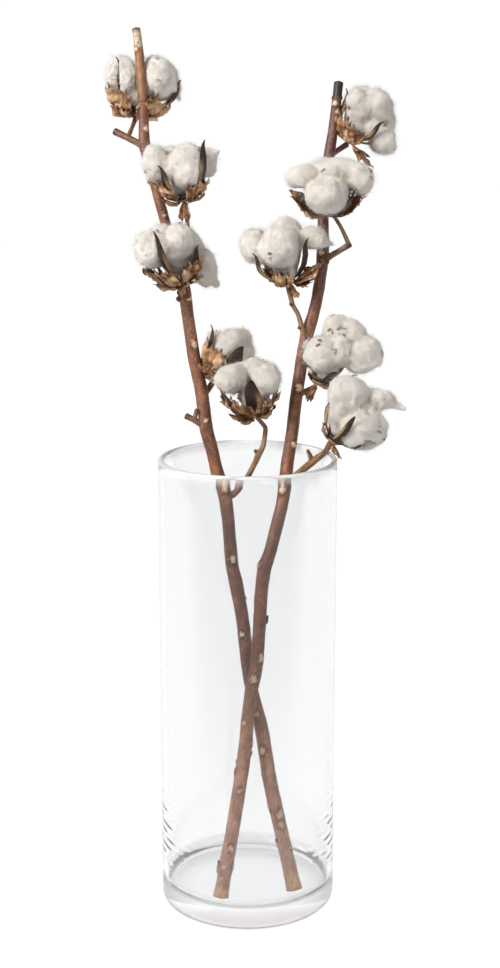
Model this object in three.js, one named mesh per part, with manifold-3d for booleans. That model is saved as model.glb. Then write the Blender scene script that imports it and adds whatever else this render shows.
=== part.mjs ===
// Cotton stem bunch: two dried cotton stems with ten open bolls, leaning crossed in a clear glass vase.
// Millimetres, +Z up. The origin is the centre of the vase's flat underside, and the bunch faces -Y.
import * as THREE from 'three';
import { mergeVertices } from 'three/addons/utils/BufferGeometryUtils.js';
import Module from 'manifold-3d';

// Clear space that is left between neighbouring pieces.
const CLEARANCE = 0.3;
const MERGE_TOLERANCE = 1e-4;

// Glass vase.
const VASE_RADIUS = 76;
const VASE_HEIGHT = 400;
const VASE_WALL = 5;
const VASE_FLOOR = 20;
const VASE_FOOT_ROUND = 10;
const VASE_INNER_ROUND = 7;
const VASE_SEGMENTS = 32;
const ROUND_STEPS = 4;

// Stems and twigs.
const STEM_SIDES = 7;
const STEM_STEP_LENGTH = 24;
const TWIG_SIDES = 5;
const TWIG_STEP_LENGTH = 15;
const CURVE_TENSION = 0.35;
const BARK_WAVE = 0.04;
const BARK_TWIST = 1.7;
const KNOT_SEGMENTS = 5;
const KNOT_RINGS = 3;
const KNOT_SINK = 0.82;
const KNOT_BULGE = 0.8;
const KNOT_WIDTH = 0.75;
const HEIGHT_HALVINGS = 24;

// Boll: bracts, burr and lint, measured along the boll's own axis from the pedicel's top.
const BURR_LEVEL = 4.6;
const VALVE_THICKNESS = 1.5;
const VALVE_START = 15;
const VALVE_END = 118;
const VALVE_ROWS = 4;
const VALVE_COLUMNS = 2;
const VALVE_HALF_WIDTH = 4.6;
const VALVE_TIP_HALF_WIDTH = 0.5;
const VALVE_ROOT_SWELL = 0.13;
const VALVE_SWELL_DELAY = 1.35;
const VALVE_CAMBER = 3;
const VALVE_TIP_FLARE = 4;
const VALVE_FLARE_START = 0.75;
const ROOM_ROWS = 3;
const VALVE_ROOM = 6;
const VALVE_ROOM_MARGIN = 1.1;
const BRACT_THICKNESS = 0.8;
const BRACT_ROWS = 3;
const BRACT_TOOTH_SPREAD = 14;
const BRACT_ROOT = 4.2;
const BRACT_ROOT_SHARE = 0.6;
const BRACT_SAG = 0.3;
const BRACT_NOTCH = 0.74;
const BRACT_RUFFLE = 1.8;
const BRACT_PIECES = 12;
const BRACT_SIDE_DROP = 0.11;
const RUFFLE_PITCH = 2.2;
const TOOTH_TURN = 6;
const TOOTH_UNEVEN = 0.12;
const TOOTH_GROW = 2.2;
const BRACT_ROOM_THICKNESS = 4;
const BRACT_ROOM_COLUMNS = 3;
const LINT_DETAIL = 2;
const LINT_CORE = 9;
const LINT_WAVE = 0.12;
const LINT_LUMPS = 5;
const LINT_GROW = 4;

const BARK = { color: 0x6a3f36, roughness: 0.8, metalness: 0 };
const LINT = { color: 0xf0ebe0, roughness: 1, metalness: 0 };
const BURR = { color: 0x3e2418, roughness: 0.7, metalness: 0 };
const BRACT = { color: 0xa5713f, roughness: 0.85, metalness: 0 };
const GLASS = { color: 0xeef3f2, roughness: 0.04, metalness: 0, transparent: true, opacity: 0.3 };

// A stem is a path of [x, y, z, radius] nodes; its twigs are paths too, rooted on the stem's centreline.
// Knots are leaf scars and bud stumps: [height, azimuth in degrees, size] on the stem's side.
const STEM_A = {
  path: [
    [40.3, -38.7, 22.7, 7.2], [37.3, -35.5, 35, 6.4], [28.9, -25.4, 72, 6], [19.3, -14.2, 115, 6],
    [12.3, -3, 158, 5.9], [3.9, 6, 190, 5.7], [-0.7, 12.3, 217, 5.9], [-4.8, 21.1, 253, 5.8],
    [-10.5, 28, 283, 6.2], [-14, 32, 297, 5.8], [-17.6, 41.5, 337, 5.7], [-20.8, 46.5, 359, 6.2],
    [-26.5, 50.5, 375, 5.7], [-31.7, 54.9, 396, 5.6], [-36.4, 59.8, 413, 6], [-40.8, 68.8, 445, 5.5],
    [-46.3, 75, 469, 5.4], [-52.6, 85.3, 509, 5.2], [-56, 91, 531, 5.9], [-64.8, 98.7, 562, 4.9],
    [-73, 105.6, 590, 4.7], [-81, 113, 619, 4.6], [-88, 119, 644, 4.7], [-90.6, 122, 655, 5.2],
    [-91.3, 126, 670, 4.5], [-92.2, 131.7, 692, 4.4], [-94, 138, 717, 4.3], [-96.3, 144, 741, 4.1],
    [-98.5, 147.8, 755.5, 3.9],
  ],
  twigs: [
    [[-90.4, 122, 652, 3.4], [-97, 129, 656, 2.9], [-108, 137, 661, 2.7], [-119, 142, 666, 3.2]],
    [[-106, 136, 661, 2.2], [-103, 147, 669, 1.8], [-99.5, 153, 678, 2.4]],
    [[-56, 91, 531, 3], [-52, 97, 548, 2.3], [-52, 99, 578, 1.9], [-53.4, 92, 598, 1.9], [-54, 90, 607, 2.6]],
    [[-57, 90, 532, 3.6], [-57.2, 84, 534, 3], [-57, 81, 538.5, 3]],
    [[-41, 69, 439, 3.2], [-36, 76, 443, 2.6], [-31, 81, 450, 2.8]],
    [
      [-21, 46.5, 354, 3.5], [-12, 46, 358, 3], [-1.2, 46, 371, 2.6], [6.5, 48, 385, 2.5], [9.7, 48, 393, 3],
      [13.5, 49, 400, 2.3], [15.5, 54, 414, 1.9], [11, 57, 420, 1.8], [7, 58, 425, 2.6],
    ],
    [[9.7, 48, 393, 2.4], [5.5, 46.5, 396.5, 1.6]],
    [[-37, 61, 414, 3], [-47, 58, 421, 2.6], [-55, 58, 425, 2.8]],
    [[-46.5, 58, 421, 2.2], [-44.5, 59, 431, 1.7]],
    [[-56, 91, 527, 2.6], [-62, 86, 522, 2.4]],
    [[30.5, -27, 65, 3], [23.5, -30, 66, 2]],
  ],
  knots: [
    [94, 200, 3.8], [142, -110, 3.4], [240, -110, 3.4], [303, -80, 4], [362, -70, 3.8],
    [486, -70, 3.6], [523, -50, 3.4], [668, -60, 3], [736, -130, 3],
  ],
};
const STEM_B = {
  path: [
    [-22.8, -54.2, 22.7, 7], [-20.9, -49.7, 36, 6.2], [-17.2, -43.9, 56.5, 6.1], [-11.5, -35.2, 88, 6],
    [-4.6, -23.9, 130, 5.9], [0.1, -11.6, 172, 5.8], [3.1, -5.4, 194, 5.7], [6.7, -0.8, 210, 5.9],
    [9.6, 7, 238, 5.7], [12.3, 19.3, 279, 5.8], [15.1, 24.6, 297, 6.1], [19.3, 28.1, 309, 5.7],
    [24, 33.2, 326, 5.6], [30.4, 40.1, 350, 5.6], [33, 45, 366, 6], [34.1, 48.4, 380, 5.6],
    [36.6, 52.7, 396, 5.5], [39.3, 57.8, 412, 5.5], [43.3, 67.4, 445, 5.7], [48.5, 76.4, 477, 5.4],
    [52.1, 80.9, 493, 5.8], [57.4, 85.5, 509, 5.3], [61.3, 90, 526, 5.2], [64.1, 94.6, 542, 5.2],
    [66.1, 99.7, 560, 5.5], [66.5, 108.6, 592, 4.7], [68.8, 117.7, 624, 4.6], [72, 124, 647, 5.1],
    [75.4, 130, 668, 4.4], [78.8, 137, 694, 4.2], [80.5, 141.4, 709.5, 4],
  ],
  twigs: [
    [[72, 124, 645, 3.2], [79, 133, 649, 2.4], [89, 138, 655, 2.8]],
    [[65.5, 97, 554, 3.4], [72, 92, 560, 2.8], [81, 87, 566, 2.5], [90, 85, 572, 3]],
    [[88, 85, 571, 2.1], [82, 83, 584, 1.6], [75, 83, 595, 1.6], [69, 83, 597.5, 2.5]],
    [[51, 78.5, 488, 3.3], [48, 76, 497, 2.6], [44, 77, 511, 2], [39, 78, 520, 2.1], [35, 81, 537, 2.6]],
    [[43.5, 68, 441, 3.1], [54, 73, 445, 2.4], [61, 74, 448, 2.8]],
    [
      [33.5, 46, 364, 3.8], [41, 39, 374.5, 3.1], [47, 34, 381, 3], [55.5, 27, 390, 3.4],
      [66, 19, 400.5, 2.5], [70.5, 13, 410, 2.8],
    ],
    [[55.5, 27, 390, 2.6], [53.5, 24.5, 396.5, 2.2], [51, 23.5, 402, 1.4]],
    [[39, 77.5, 519, 1.9], [36.5, 74.5, 521, 1.3]],
    [[47.5, 76, 499, 2], [43.5, 73.5, 500, 1.4]],
    [[65, 95, 556, 2.4], [68.5, 90, 553, 1.6], [71, 88.5, 557, 1]],
  ],
  knots: [
    [49, -20, 3.4], [127, 175, 3.6], [150, -5, 3.6], [206, -100, 4], [222, -50, 3.8],
    [300, 180, 3.8], [362, -110, 4], [449, -80, 3.6], [563, -110, 3.2], [690, -110, 3],
  ],
};

// Bolls: base is the pedicel's top and axis the way the boll faces.
// Locks are lobes of lint, [x, y, z, x radius, y radius, z radius] from the base.
// Valves are [azimuth, reach, height, half width where it isn't the usual].
// Bracts are [azimuth, half spread, length, first slope, last slope], with angles in degrees.
const BOLLS = {
  a1: {
    base: [-99, 153, 678.5], axis: [0.1, 0.1, 1], seed: 11,
    locks: [
      [-11, -5, 33, 14, 13, 20], [20, -4, 33, 18, 15, 20], [-15, 11, 37, 13, 14, 15],
      [8, 16, 36, 15, 13, 16], [29, 6, 26, 11, 12, 13], [2, 3, 17, 13, 12, 13],
    ],
    valves: [[-30, 13, 47, 3], [-16, 36, 31, 4.6], [62, 26, 38], [130, 25, 40], [214, 23, 45, 3]],
    bracts: [[-44, 46, 41, -30, 66], [212, 46, 44, -14, 74], [80, 46, 32, -4, 62]],
  },
  a2: {
    base: [-54, 90, 607.5], axis: [-0.12, -0.12, 1], seed: 23,
    locks: [
      [2, -9, 30, 17, 14, 19], [-25, -1, 32, 13, 13, 17], [15, 9, 33, 13, 12, 13],
      [-14, 13, 34, 12, 12, 12], [2, 7, 38, 14, 11, 10], [17, 8, 40, 12, 8, 6], [-2, 2, 17, 13, 12, 13],
    ],
    valves: [[-132, 24, 34, 4], [-32, 25, 50, 4.6], [170, 28, 36], [100, 24, 40], [42, 23, 40]],
    bracts: [[204, 40, 42, 4, 68], [-102, 34, 20, -50, -84], [-38, 44, 34, 2, 74], [78, 42, 30, 6, 70]],
  },
  a3: {
    base: [-57, 81, 539], axis: [-0.26, -0.3, 1], seed: 37,
    locks: [
      [-24, -15, 29, 17, 15, 16], [-3, -14, 36, 16, 14, 17], [20, -1, 12, 11, 9, 17],
      [-17, 4, 36, 14, 12, 15], [3, 3, 33, 14, 12, 15], [-4, -5, 17, 12, 12, 13],
    ],
    valves: [[-108, 25, 58, 3.4], [-24, 22, 30, 3.6], [186, 27, 34], [138, 17, 34], [52, 20, 34]],
    bracts: [[222, 50, 46, -4, 72], [-46, 36, 42, 0, 78], [46, 34, 28, 4, 66], [-104, 20, 15, -50, -60]],
  },
  a4: {
    base: [-31, 81, 451], axis: [0.42, 0.05, 1], seed: 41,
    locks: [
      [16, -1, 33, 15, 14, 15], [25, 4, 22, 12, 13, 13], [5, 7, 32, 11, 12, 13],
      [22, 8, 32, 12, 12, 13], [5, 2, 15, 10, 10, 11],
    ],
    valves: [[-62, 22, 38, 6.5], [200, 18, 43], [122, 22, 38], [54, 23, 34], [-16, 24, 24]],
    bracts: [[238, 42, 46, 22, 84], [-40, 32, 28, 6, 70], [86, 46, 32, 10, 76]],
  },
  a5: {
    base: [7, 58, 426], axis: [-0.08, -0.24, 1], seed: 59,
    locks: [
      [-21, -8, 32, 14, 13, 14], [10, -10, 33, 11, 12, 15], [0, 6, 38, 14, 11, 12],
      [-14, 8, 32, 13, 11, 13], [11, 6, 31, 11, 11, 13], [-3, -2, 16, 12, 11, 12],
    ],
    valves: [[-92, 24, 41, 7], [182, 28, 25], [-6, 21, 30], [66, 22, 38], [122, 23, 38]],
    bracts: [[222, 50, 45, -6, 70], [-42, 46, 34, 6, 80], [94, 44, 32, 2, 64]],
  },
  b1: {
    base: [89, 138, 656], axis: [0.5, 0, 0.86], seed: 61,
    locks: [
      [9, -1, 31, 13, 14, 16], [24, 0, 32, 15, 14, 16], [13, 8, 39, 13, 11, 10], [31, -3, 1, 13, 12, 13],
      [21, -3, 12, 10, 10, 11], [31, 9, 19, 12, 12, 13], [9, 1, 15, 11, 10, 11],
    ],
    valves: [[-52, 24, 28, 3], [184, 22, 36], [116, 22, 36], [56, 22, 32], [-10, 26, 22, 3]],
    bracts: [[250, 44, 36, -18, 68], [-38, 30, 35, -14, -20], [84, 46, 32, 4, 70]],
  },
  b2: {
    base: [69, 83, 598.5], axis: [0, -0.6, 0.8], seed: 73,
    locks: [
      [-2, -26, 17, 20, 15, 16], [4, -8, 38, 21, 12, 10], [-22, -12, 31, 13, 12, 11],
      [27, -11, 30, 12, 12, 14], [0, -13, 27, 15, 11, 12], [0, -9, 13, 12, 10, 11],
    ],
    valves: [[212, 27, 34, 4], [-32, 24, 36, 4], [38, 25, 34], [138, 25, 34]],
    bracts: [[200, 38, 46, 8, 60], [-22, 36, 44, 10, 62], [84, 44, 30, 2, 60]],
  },
  b3: {
    base: [35, 81, 538], axis: [-0.12, -0.26, 1], seed: 83,
    locks: [
      [-8, -16, 33, 19, 14, 20], [-29, 0, 33, 14, 13, 17], [-2, 6, 48, 13, 11, 9],
      [21, 1, 38, 14, 12, 11], [-3, 0, 32, 15, 12, 15], [-2, -4, 16, 12, 11, 13],
    ],
    valves: [[214, 30, 34, 4], [-34, 23, 41, 4], [58, 24, 36], [128, 24, 36]],
    bracts: [[-108, 36, 30, -8, 84], [-14, 38, 38, 2, 44], [140, 44, 32, 6, 66], [-62, 18, 18, -34, -60]],
  },
  b4: {
    base: [61, 74, 449], axis: [0.42, 0.12, 1], seed: 97,
    locks: [
      [2, -5, 27, 16, 15, 17], [15, 5, 51, 12, 11, 10], [30, 1, 47, 12, 12, 10], [38, -1, 27, 18, 14, 18],
      [14, 10, 32, 15, 12, 16], [20, -5, 31, 13, 12, 15], [7, 0, 13, 11, 11, 10],
    ],
    valves: [[-60, 18, 14, 4], [206, 14, 28], [112, 23, 38], [50, 24, 34], [-10, 26, 18]],
    bracts: [[-108, 25, 22, -56, -78], [164, 32, 12, 10, 64], [72, 44, 30, 4, 60], [-26, 32, 22, 0, 30]],
  },
  b5: {
    base: [70.5, 13, 410.5], axis: [0.6, -0.1, 0.78], seed: 101,
    locks: [
      [14, -2, 40, 20, 15, 18], [27, -7, 13, 20, 15, 19], [42, 2, 36, 14, 9, 10], [20, 9, 27, 16, 12, 16],
      [6, -1, 24, 11, 11, 13], [9, 0, 12, 10, 10, 9],
    ],
    valves: [[-96, 22, 33, 2.8], [176, 22, 36], [100, 22, 36], [34, 23, 32], [-30, 25, 22, 3]],
    bracts: [[-60, 24, 20, -16, -12], [190, 34, 17, 6, 56], [76, 42, 28, 0, 56]],
  },
};

const wasm = await Module();
wasm.setup();

// A repeatable number from 0 to 1 for each whole number.
function chance(seed) {
  const wave = Math.sin(seed * 12.9898 + 78.233) * 43758.5453;
  return wave - Math.floor(wave);
}

function radians(degrees) {
  return (degrees * Math.PI) / 180;
}

function solidFrom(geometry) {
  const bare = new THREE.BufferGeometry();
  bare.setAttribute('position', geometry.getAttribute('position').clone());
  bare.setIndex(geometry.getIndex());
  const merged = mergeVertices(bare, MERGE_TOLERANCE);
  const corners = merged.getIndex().array;
  const kept = [];
  for (let i = 0; i < corners.length; i += 3) {
    const [a, b, c] = corners.slice(i, i + 3);
    if (a !== b && b !== c && c !== a) {
      kept.push(a, b, c);
    }
  }
  const vertProperties = new Float32Array(merged.getAttribute('position').array);
  return new wasm.Manifold(new wasm.Mesh({ numProp: 3, vertProperties, triVerts: new Uint32Array(kept) }));
}

function geometryFrom(solid) {
  const mesh = solid.getMesh();
  const geometry = new THREE.BufferGeometry();
  geometry.setAttribute('position', new THREE.BufferAttribute(mesh.vertProperties, 3));
  geometry.setIndex(new THREE.BufferAttribute(mesh.triVerts, 1));
  return geometry;
}

function joined(solids) {
  return solids.reduce((whole, next) => whole.add(next));
}

function largestPiece(solid) {
  const pieces = solid.decompose();
  return pieces.reduce((best, next) => (next.volume() > best.volume() ? next : best));
}

// ---- vase ----

function arc(centreX, centreY, radius, fromDegrees, toDegrees) {
  const points = [];
  for (let i = 0; i <= ROUND_STEPS; i += 1) {
    const angle = radians(fromDegrees + ((toDegrees - fromDegrees) * i) / ROUND_STEPS);
    points.push(new THREE.Vector2(centreX + radius * Math.cos(angle), centreY + radius * Math.sin(angle)));
  }
  return points;
}

function vaseSolid() {
  const inner = VASE_RADIUS - VASE_WALL;
  const lip = VASE_WALL / 2;
  const profile = [
    new THREE.Vector2(0, 0),
    ...arc(VASE_RADIUS - VASE_FOOT_ROUND, VASE_FOOT_ROUND, VASE_FOOT_ROUND, -90, 0),
    ...arc(VASE_RADIUS - lip, VASE_HEIGHT - lip, lip, 0, 180),
    ...arc(inner - VASE_INNER_ROUND, VASE_FLOOR + VASE_INNER_ROUND, VASE_INNER_ROUND, 0, -90),
    new THREE.Vector2(0, VASE_FLOOR),
  ];
  const turned = new THREE.LatheGeometry(profile, VASE_SEGMENTS);
  turned.rotateX(Math.PI / 2);
  return solidFrom(turned);
}

// ---- stems ----

function pathThrough(nodes) {
  const points = nodes.map(([x, y, z]) => new THREE.Vector3(x, y, z));
  return new THREE.CatmullRomCurve3(points, false, 'catmullrom', CURVE_TENSION);
}

function radiusAlong(nodes, curve, u) {
  const place = curve.getUtoTmapping(u) * (nodes.length - 1);
  const before = Math.min(Math.floor(place), nodes.length - 2);
  return THREE.MathUtils.lerp(nodes[before][3], nodes[before + 1][3], place - before);
}

// A closed cylinder is bent along the path, with a slightly uneven girth.
function tube(nodes, sides, stepLength, grow) {
  const curve = pathThrough(nodes);
  const steps = Math.max(2, Math.round(curve.getLength() / stepLength));
  const frames = curve.computeFrenetFrames(steps, false);
  const geometry = new THREE.CylinderGeometry(1, 1, 1, sides, steps);
  const position = geometry.getAttribute('position');
  for (let i = 0; i < position.count; i += 1) {
    const row = Math.round((position.getY(i) + 0.5) * steps);
    const u = row / steps;
    const turn = Math.atan2(position.getZ(i), position.getX(i));
    const girth = 1 + BARK_WAVE * (Math.sin(2 * turn + BARK_TWIST * row) + Math.sin(3 * turn - row));
    const radius = radiusAlong(nodes, curve, u) * girth + grow;
    const ahead = row === 0 ? -grow : row === steps ? grow : 0;
    const point = curve.getPointAt(u);
    point.addScaledVector(frames.binormals[row], position.getX(i) * radius);
    point.addScaledVector(frames.normals[row], position.getZ(i) * radius);
    point.addScaledVector(frames.tangents[row], ahead);
    position.setXYZ(i, point.x, point.y, point.z);
  }
  return solidFrom(geometry);
}

function pointAtHeight(curve, height) {
  let low = 0;
  let high = 1;
  for (let i = 0; i < HEIGHT_HALVINGS; i += 1) {
    const middle = (low + high) / 2;
    if (curve.getPointAt(middle).z < height) {
      low = middle;
    } else {
      high = middle;
    }
  }
  return low;
}

// A leaf scar or bud stump: a small flattened knob, most of it sunk into the bark.
function knot(stem, height, azimuth, size, grow) {
  const curve = pathThrough(stem.path);
  const u = pointAtHeight(curve, height);
  const out = radiusAlong(stem.path, curve, u) * KNOT_SINK;
  const geometry = new THREE.SphereGeometry(1, KNOT_SEGMENTS, KNOT_RINGS);
  geometry.scale(size * KNOT_BULGE + grow, size * KNOT_WIDTH + grow, size + grow);
  geometry.rotateZ(radians(azimuth));
  const centre = curve.getPointAt(u);
  const angle = radians(azimuth);
  geometry.translate(centre.x + out * Math.cos(angle), centre.y + out * Math.sin(angle), centre.z);
  return solidFrom(geometry);
}

function stemSolid(stem, grow) {
  const main = tube(stem.path, STEM_SIDES, STEM_STEP_LENGTH, grow);
  const twigs = stem.twigs.map((path) => tube(path, TWIG_SIDES, TWIG_STEP_LENGTH, grow));
  const knots = stem.knots.map(([height, azimuth, size]) => knot(stem, height, azimuth, size, grow));
  return joined([main, ...twigs, ...knots]);
}

// ---- bolls ----

function bollFrame(boll) {
  const turn = new THREE.Quaternion();
  turn.setFromUnitVectors(new THREE.Vector3(0, 0, 1), new THREE.Vector3(...boll.axis).normalize());
  const base = new THREE.Vector3(...boll.base);
  return new THREE.Matrix4().compose(base, turn, new THREE.Vector3(1, 1, 1));
}

function quad(corners, a, b, c, d) {
  corners.push(a, b, c, a, c, d);
}

function geometryOf(corners) {
  return new THREE.BufferGeometry().setFromPoints(corners);
}

// The two faces of a thin blade over a grid of points, from its root row to its tip row.
// grow thickens it all round and widens its root, and tipGrow is its extra reach past the tip row.
function blade(surface, rows, columns, thickness, grow, tipGrow) {
  const grid = [];
  for (let i = 0; i <= rows; i += 1) {
    grid.push([]);
    for (let j = 0; j <= columns; j += 1) {
      grid[i].push(surface(i / rows, (2 * j) / columns - 1, j));
    }
  }
  const upper = [];
  const lower = [];
  for (let i = 0; i <= rows; i += 1) {
    upper.push([]);
    lower.push([]);
    for (let j = 0; j <= columns; j += 1) {
      const along = grid[Math.min(i + 1, rows)][j].clone().sub(grid[Math.max(i - 1, 0)][j]).normalize();
      const across = grid[i][Math.min(j + 1, columns)].clone().sub(grid[i][Math.max(j - 1, 0)]).normalize();
      const normal = new THREE.Vector3().crossVectors(along, across).normalize();
      const point = grid[i][j].clone();
      point.addScaledVector(along, i === rows ? tipGrow : i === 0 ? grow : 0);
      point.addScaledVector(across, j === columns ? grow : j === 0 ? -grow : 0);
      upper[i].push(point.clone().addScaledVector(normal, thickness / 2 + grow));
      lower[i].push(point.clone().addScaledVector(normal, -thickness / 2 - grow));
    }
  }
  return { upper, lower, rows, columns };
}

// Both faces are split alike, and a wall follows the edge from the root's first corner to its last.
function addBlade(corners, { upper, lower, rows, columns }) {
  for (let i = 0; i < rows; i += 1) {
    for (let j = 0; j < columns; j += 1) {
      quad(corners, upper[i][j], upper[i + 1][j], upper[i + 1][j + 1], upper[i][j + 1]);
      const [a, b, c, d] = [lower[i][j], lower[i + 1][j], lower[i + 1][j + 1], lower[i][j + 1]];
      corners.push(a, c, b, a, d, c);
    }
  }
  for (let i = 0; i < rows; i += 1) {
    quad(corners, lower[i][0], lower[i + 1][0], upper[i + 1][0], upper[i][0]);
    quad(corners, lower[i + 1][columns], lower[i][columns], upper[i][columns], upper[i + 1][columns]);
  }
  for (let j = 0; j < columns; j += 1) {
    quad(corners, lower[rows][j], lower[rows][j + 1], upper[rows][j + 1], upper[rows][j]);
  }
}

// One blade on its own, closed at the root as well.
function lone(shape) {
  const corners = [];
  addBlade(corners, shape);
  const { upper, lower, columns } = shape;
  for (let j = 0; j < columns; j += 1) {
    quad(corners, lower[0][j + 1], lower[0][j], upper[0][j], upper[0][j + 1]);
  }
  return geometryOf(corners);
}

// Blades in order round a hub, as one closed sheet; the hub's middle runs from low to high.
function whorl(blades, low, high) {
  const bottom = new THREE.Vector3(0, 0, low);
  const top = new THREE.Vector3(0, 0, high);
  const corners = [];
  blades.forEach((shape, index) => {
    const next = blades[(index + 1) % blades.length];
    const { upper, lower, columns } = shape;
    addBlade(corners, shape);
    for (let j = 0; j < columns; j += 1) {
      corners.push(top, upper[0][j], upper[0][j + 1]);
      corners.push(bottom, lower[0][j + 1], lower[0][j]);
    }
    corners.push(top, upper[0][columns], next.upper[0][0]);
    corners.push(bottom, next.lower[0][0], lower[0][columns]);
    quad(corners, lower[0][columns], next.lower[0][0], next.upper[0][0], upper[0][columns]);
  });
  return geometryOf(corners);
}

function aroundAxis(shapes) {
  const turned = ([azimuth]) => (azimuth + 720) % 360;
  return [...shapes].sort((one, other) => turned(one) - turned(other));
}

// One valve of the burr: a pointed boat that rises from the dish and bends in again at the top.
// outward moves its outer face out.
function valve([azimuth, reach, height, halfWidth = VALVE_HALF_WIDTH], grow, outward, rows, columns) {
  const rise = height / (1 - Math.cos(radians(VALVE_END)));
  const radial = new THREE.Vector3(Math.cos(radians(azimuth)), Math.sin(radians(azimuth)), 0);
  const sideways = new THREE.Vector3(-radial.y, radial.x, 0);
  const surface = (u, v) => {
    const angle = radians(VALVE_START + (VALVE_END - VALVE_START) * u);
    const swell = Math.sin(Math.PI * (VALVE_ROOT_SWELL + (1 - VALVE_ROOT_SWELL) * u ** VALVE_SWELL_DELAY));
    const width = halfWidth * swell + VALVE_TIP_HALF_WIDTH;
    const camber = VALVE_CAMBER * v * v * Math.sin(Math.PI * u) - outward / 2;
    const flare = VALVE_TIP_FLARE * Math.max(0, (u - VALVE_FLARE_START) / (1 - VALVE_FLARE_START));
    const out = (reach - camber) * Math.sin(angle) + flare;
    const up = BURR_LEVEL + rise * (1 - Math.cos(angle)) + camber * Math.cos(angle);
    return radial.clone().multiplyScalar(out).addScaledVector(sideways, v * width).setZ(up);
  };
  return blade(surface, rows, columns, VALVE_THICKNESS + outward, grow, grow);
}

function burrSolid(boll, grow) {
  const valves = aroundAxis(boll.valves).map((shape) => valve(shape, grow, 0, VALVE_ROWS, VALVE_COLUMNS));
  const half = VALVE_THICKNESS / 2 + grow;
  return solidFrom(whorl(valves, BURR_LEVEL - half, BURR_LEVEL + half).applyMatrix4(bollFrame(boll)));
}

// The room that the lint leaves for the valves, in a plainer shape that also keeps lint off their backs.
function burrRoom(boll) {
  const grow = CLEARANCE + VALVE_ROOM_MARGIN;
  const rooms = boll.valves.map((shape) => lone(valve(shape, grow, VALVE_ROOM, ROOM_ROWS, 1)));
  return joined(rooms.map((shape) => solidFrom(shape.applyMatrix4(bollFrame(boll)))));
}

// One bract: a fan of papery leaf, cut into long teeth, whose slope soon turns from first to last.
function bract([azimuth, spread, length, firstSlope, lastSlope], seed, grow, plain) {
  const slopeAt = (share) => radians(lastSlope + (firstSlope - lastSlope) * (1 - share) ** 2);
  const reachOf = (u, v, column) => {
    if (u < 1) {
      return u * (1 - BRACT_SIDE_DROP * v * v);
    }
    const tooth = column % 2 === 1;
    const uneven = TOOTH_UNEVEN * chance(seed + column);
    return tooth || plain ? 1 - 2 * BRACT_SIDE_DROP * v * v - uneven : BRACT_NOTCH;
  };
  const surface = (u, v, column) => {
    const share = reachOf(u, v, column);
    let out = BRACT_ROOT;
    let up = CLEARANCE + BRACT_THICKNESS / 2 + BRACT_SAG;
    for (let k = 0.5; k < BRACT_PIECES; k += 1) {
      const slope = slopeAt((share * k) / BRACT_PIECES);
      out += (Math.cos(slope) * length * share) / BRACT_PIECES;
      up += (Math.sin(slope) * length * share) / BRACT_PIECES;
    }
    const wave = Math.sin(RUFFLE_PITCH * column + seed) + chance(seed * 3 + column) - 0.5;
    const ruffle = plain ? 0 : BRACT_RUFFLE * share * wave;
    const fan = spread * (BRACT_ROOT_SHARE + (1 - BRACT_ROOT_SHARE) * Math.min(1, 2 * u));
    const turn = radians(azimuth + v * fan + TOOTH_TURN * (chance(seed * 7 + column) - 0.5) * share);
    const reach = out + ruffle * Math.sin(slopeAt(share));
    const level = up - ruffle * Math.cos(slopeAt(share));
    return new THREE.Vector3(reach * Math.cos(turn), reach * Math.sin(turn), level);
  };
  if (plain) {
    return blade(surface, BRACT_ROWS, BRACT_ROOM_COLUMNS, BRACT_ROOM_THICKNESS, 0, grow);
  }
  const columns = 2 * Math.round(spread / BRACT_TOOTH_SPREAD);
  return blade(surface, BRACT_ROWS, columns, BRACT_THICKNESS, grow, grow * TOOTH_GROW);
}

function bractBlades(boll, grow, plain) {
  return aroundAxis(boll.bracts).map((shape, index) => bract(shape, boll.seed + 5 * index, grow, plain));
}

function bractsSolid(boll, grow) {
  const high = BURR_LEVEL - VALVE_THICKNESS / 2 - CLEARANCE + grow;
  const sheet = whorl(bractBlades(boll, grow, false), CLEARANCE - grow, high);
  return solidFrom(sheet.applyMatrix4(bollFrame(boll)));
}

function bractsRoom(boll) {
  const rooms = bractBlades(boll, CLEARANCE, true).map(lone);
  return joined(rooms.map((shape) => solidFrom(shape.applyMatrix4(bollFrame(boll)))));
}

// How far a ray from the lint's middle runs before it leaves a lobe, or 0 where it misses the lobe.
function exitDistance(middle, direction, [x, y, z, radiusX, radiusY, radiusZ], grow) {
  const radii = new THREE.Vector3(radiusX + grow, radiusY + grow, radiusZ + grow);
  const start = middle.clone().sub(new THREE.Vector3(x, y, z)).divide(radii);
  const step = direction.clone().divide(radii);
  const along = start.dot(step) / step.lengthSq();
  const inside = along * along - (start.lengthSq() - 1) / step.lengthSq();
  return inside > 0 ? Math.max(0, Math.sqrt(inside) - along) : 0;
}

// The lint is one soft body: its skin lies where rays from the middle leave the outermost lobe.
function lintSolid(boll, grow) {
  const middle = new THREE.Vector3();
  boll.locks.forEach(([x, y, z]) => middle.add(new THREE.Vector3(x, y, z).divideScalar(boll.locks.length)));
  const geometry = new THREE.IcosahedronGeometry(1, LINT_DETAIL);
  const position = geometry.getAttribute('position');
  for (let i = 0; i < position.count; i += 1) {
    const ray = new THREE.Vector3().fromBufferAttribute(position, i).normalize();
    const distances = boll.locks.map((shape) => exitDistance(middle, ray, shape, grow * LINT_GROW));
    const across = Math.sin(LINT_LUMPS * ray.x + boll.seed) * Math.sin(LINT_LUMPS * ray.y - boll.seed);
    const wave = across * Math.sin(LINT_LUMPS * ray.z);
    const skin = Math.max(LINT_CORE, ...distances) * (1 + LINT_WAVE * wave);
    const point = ray.multiplyScalar(skin).add(middle).add(new THREE.Vector3(...boll.base));
    position.setXYZ(i, point.x, point.y, point.z);
  }
  return solidFrom(geometry).subtract(burrRoom(boll)).subtract(bractsRoom(boll));
}

// ---- assembly ----

const bunch = new THREE.Group();
const settled = [];

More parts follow.
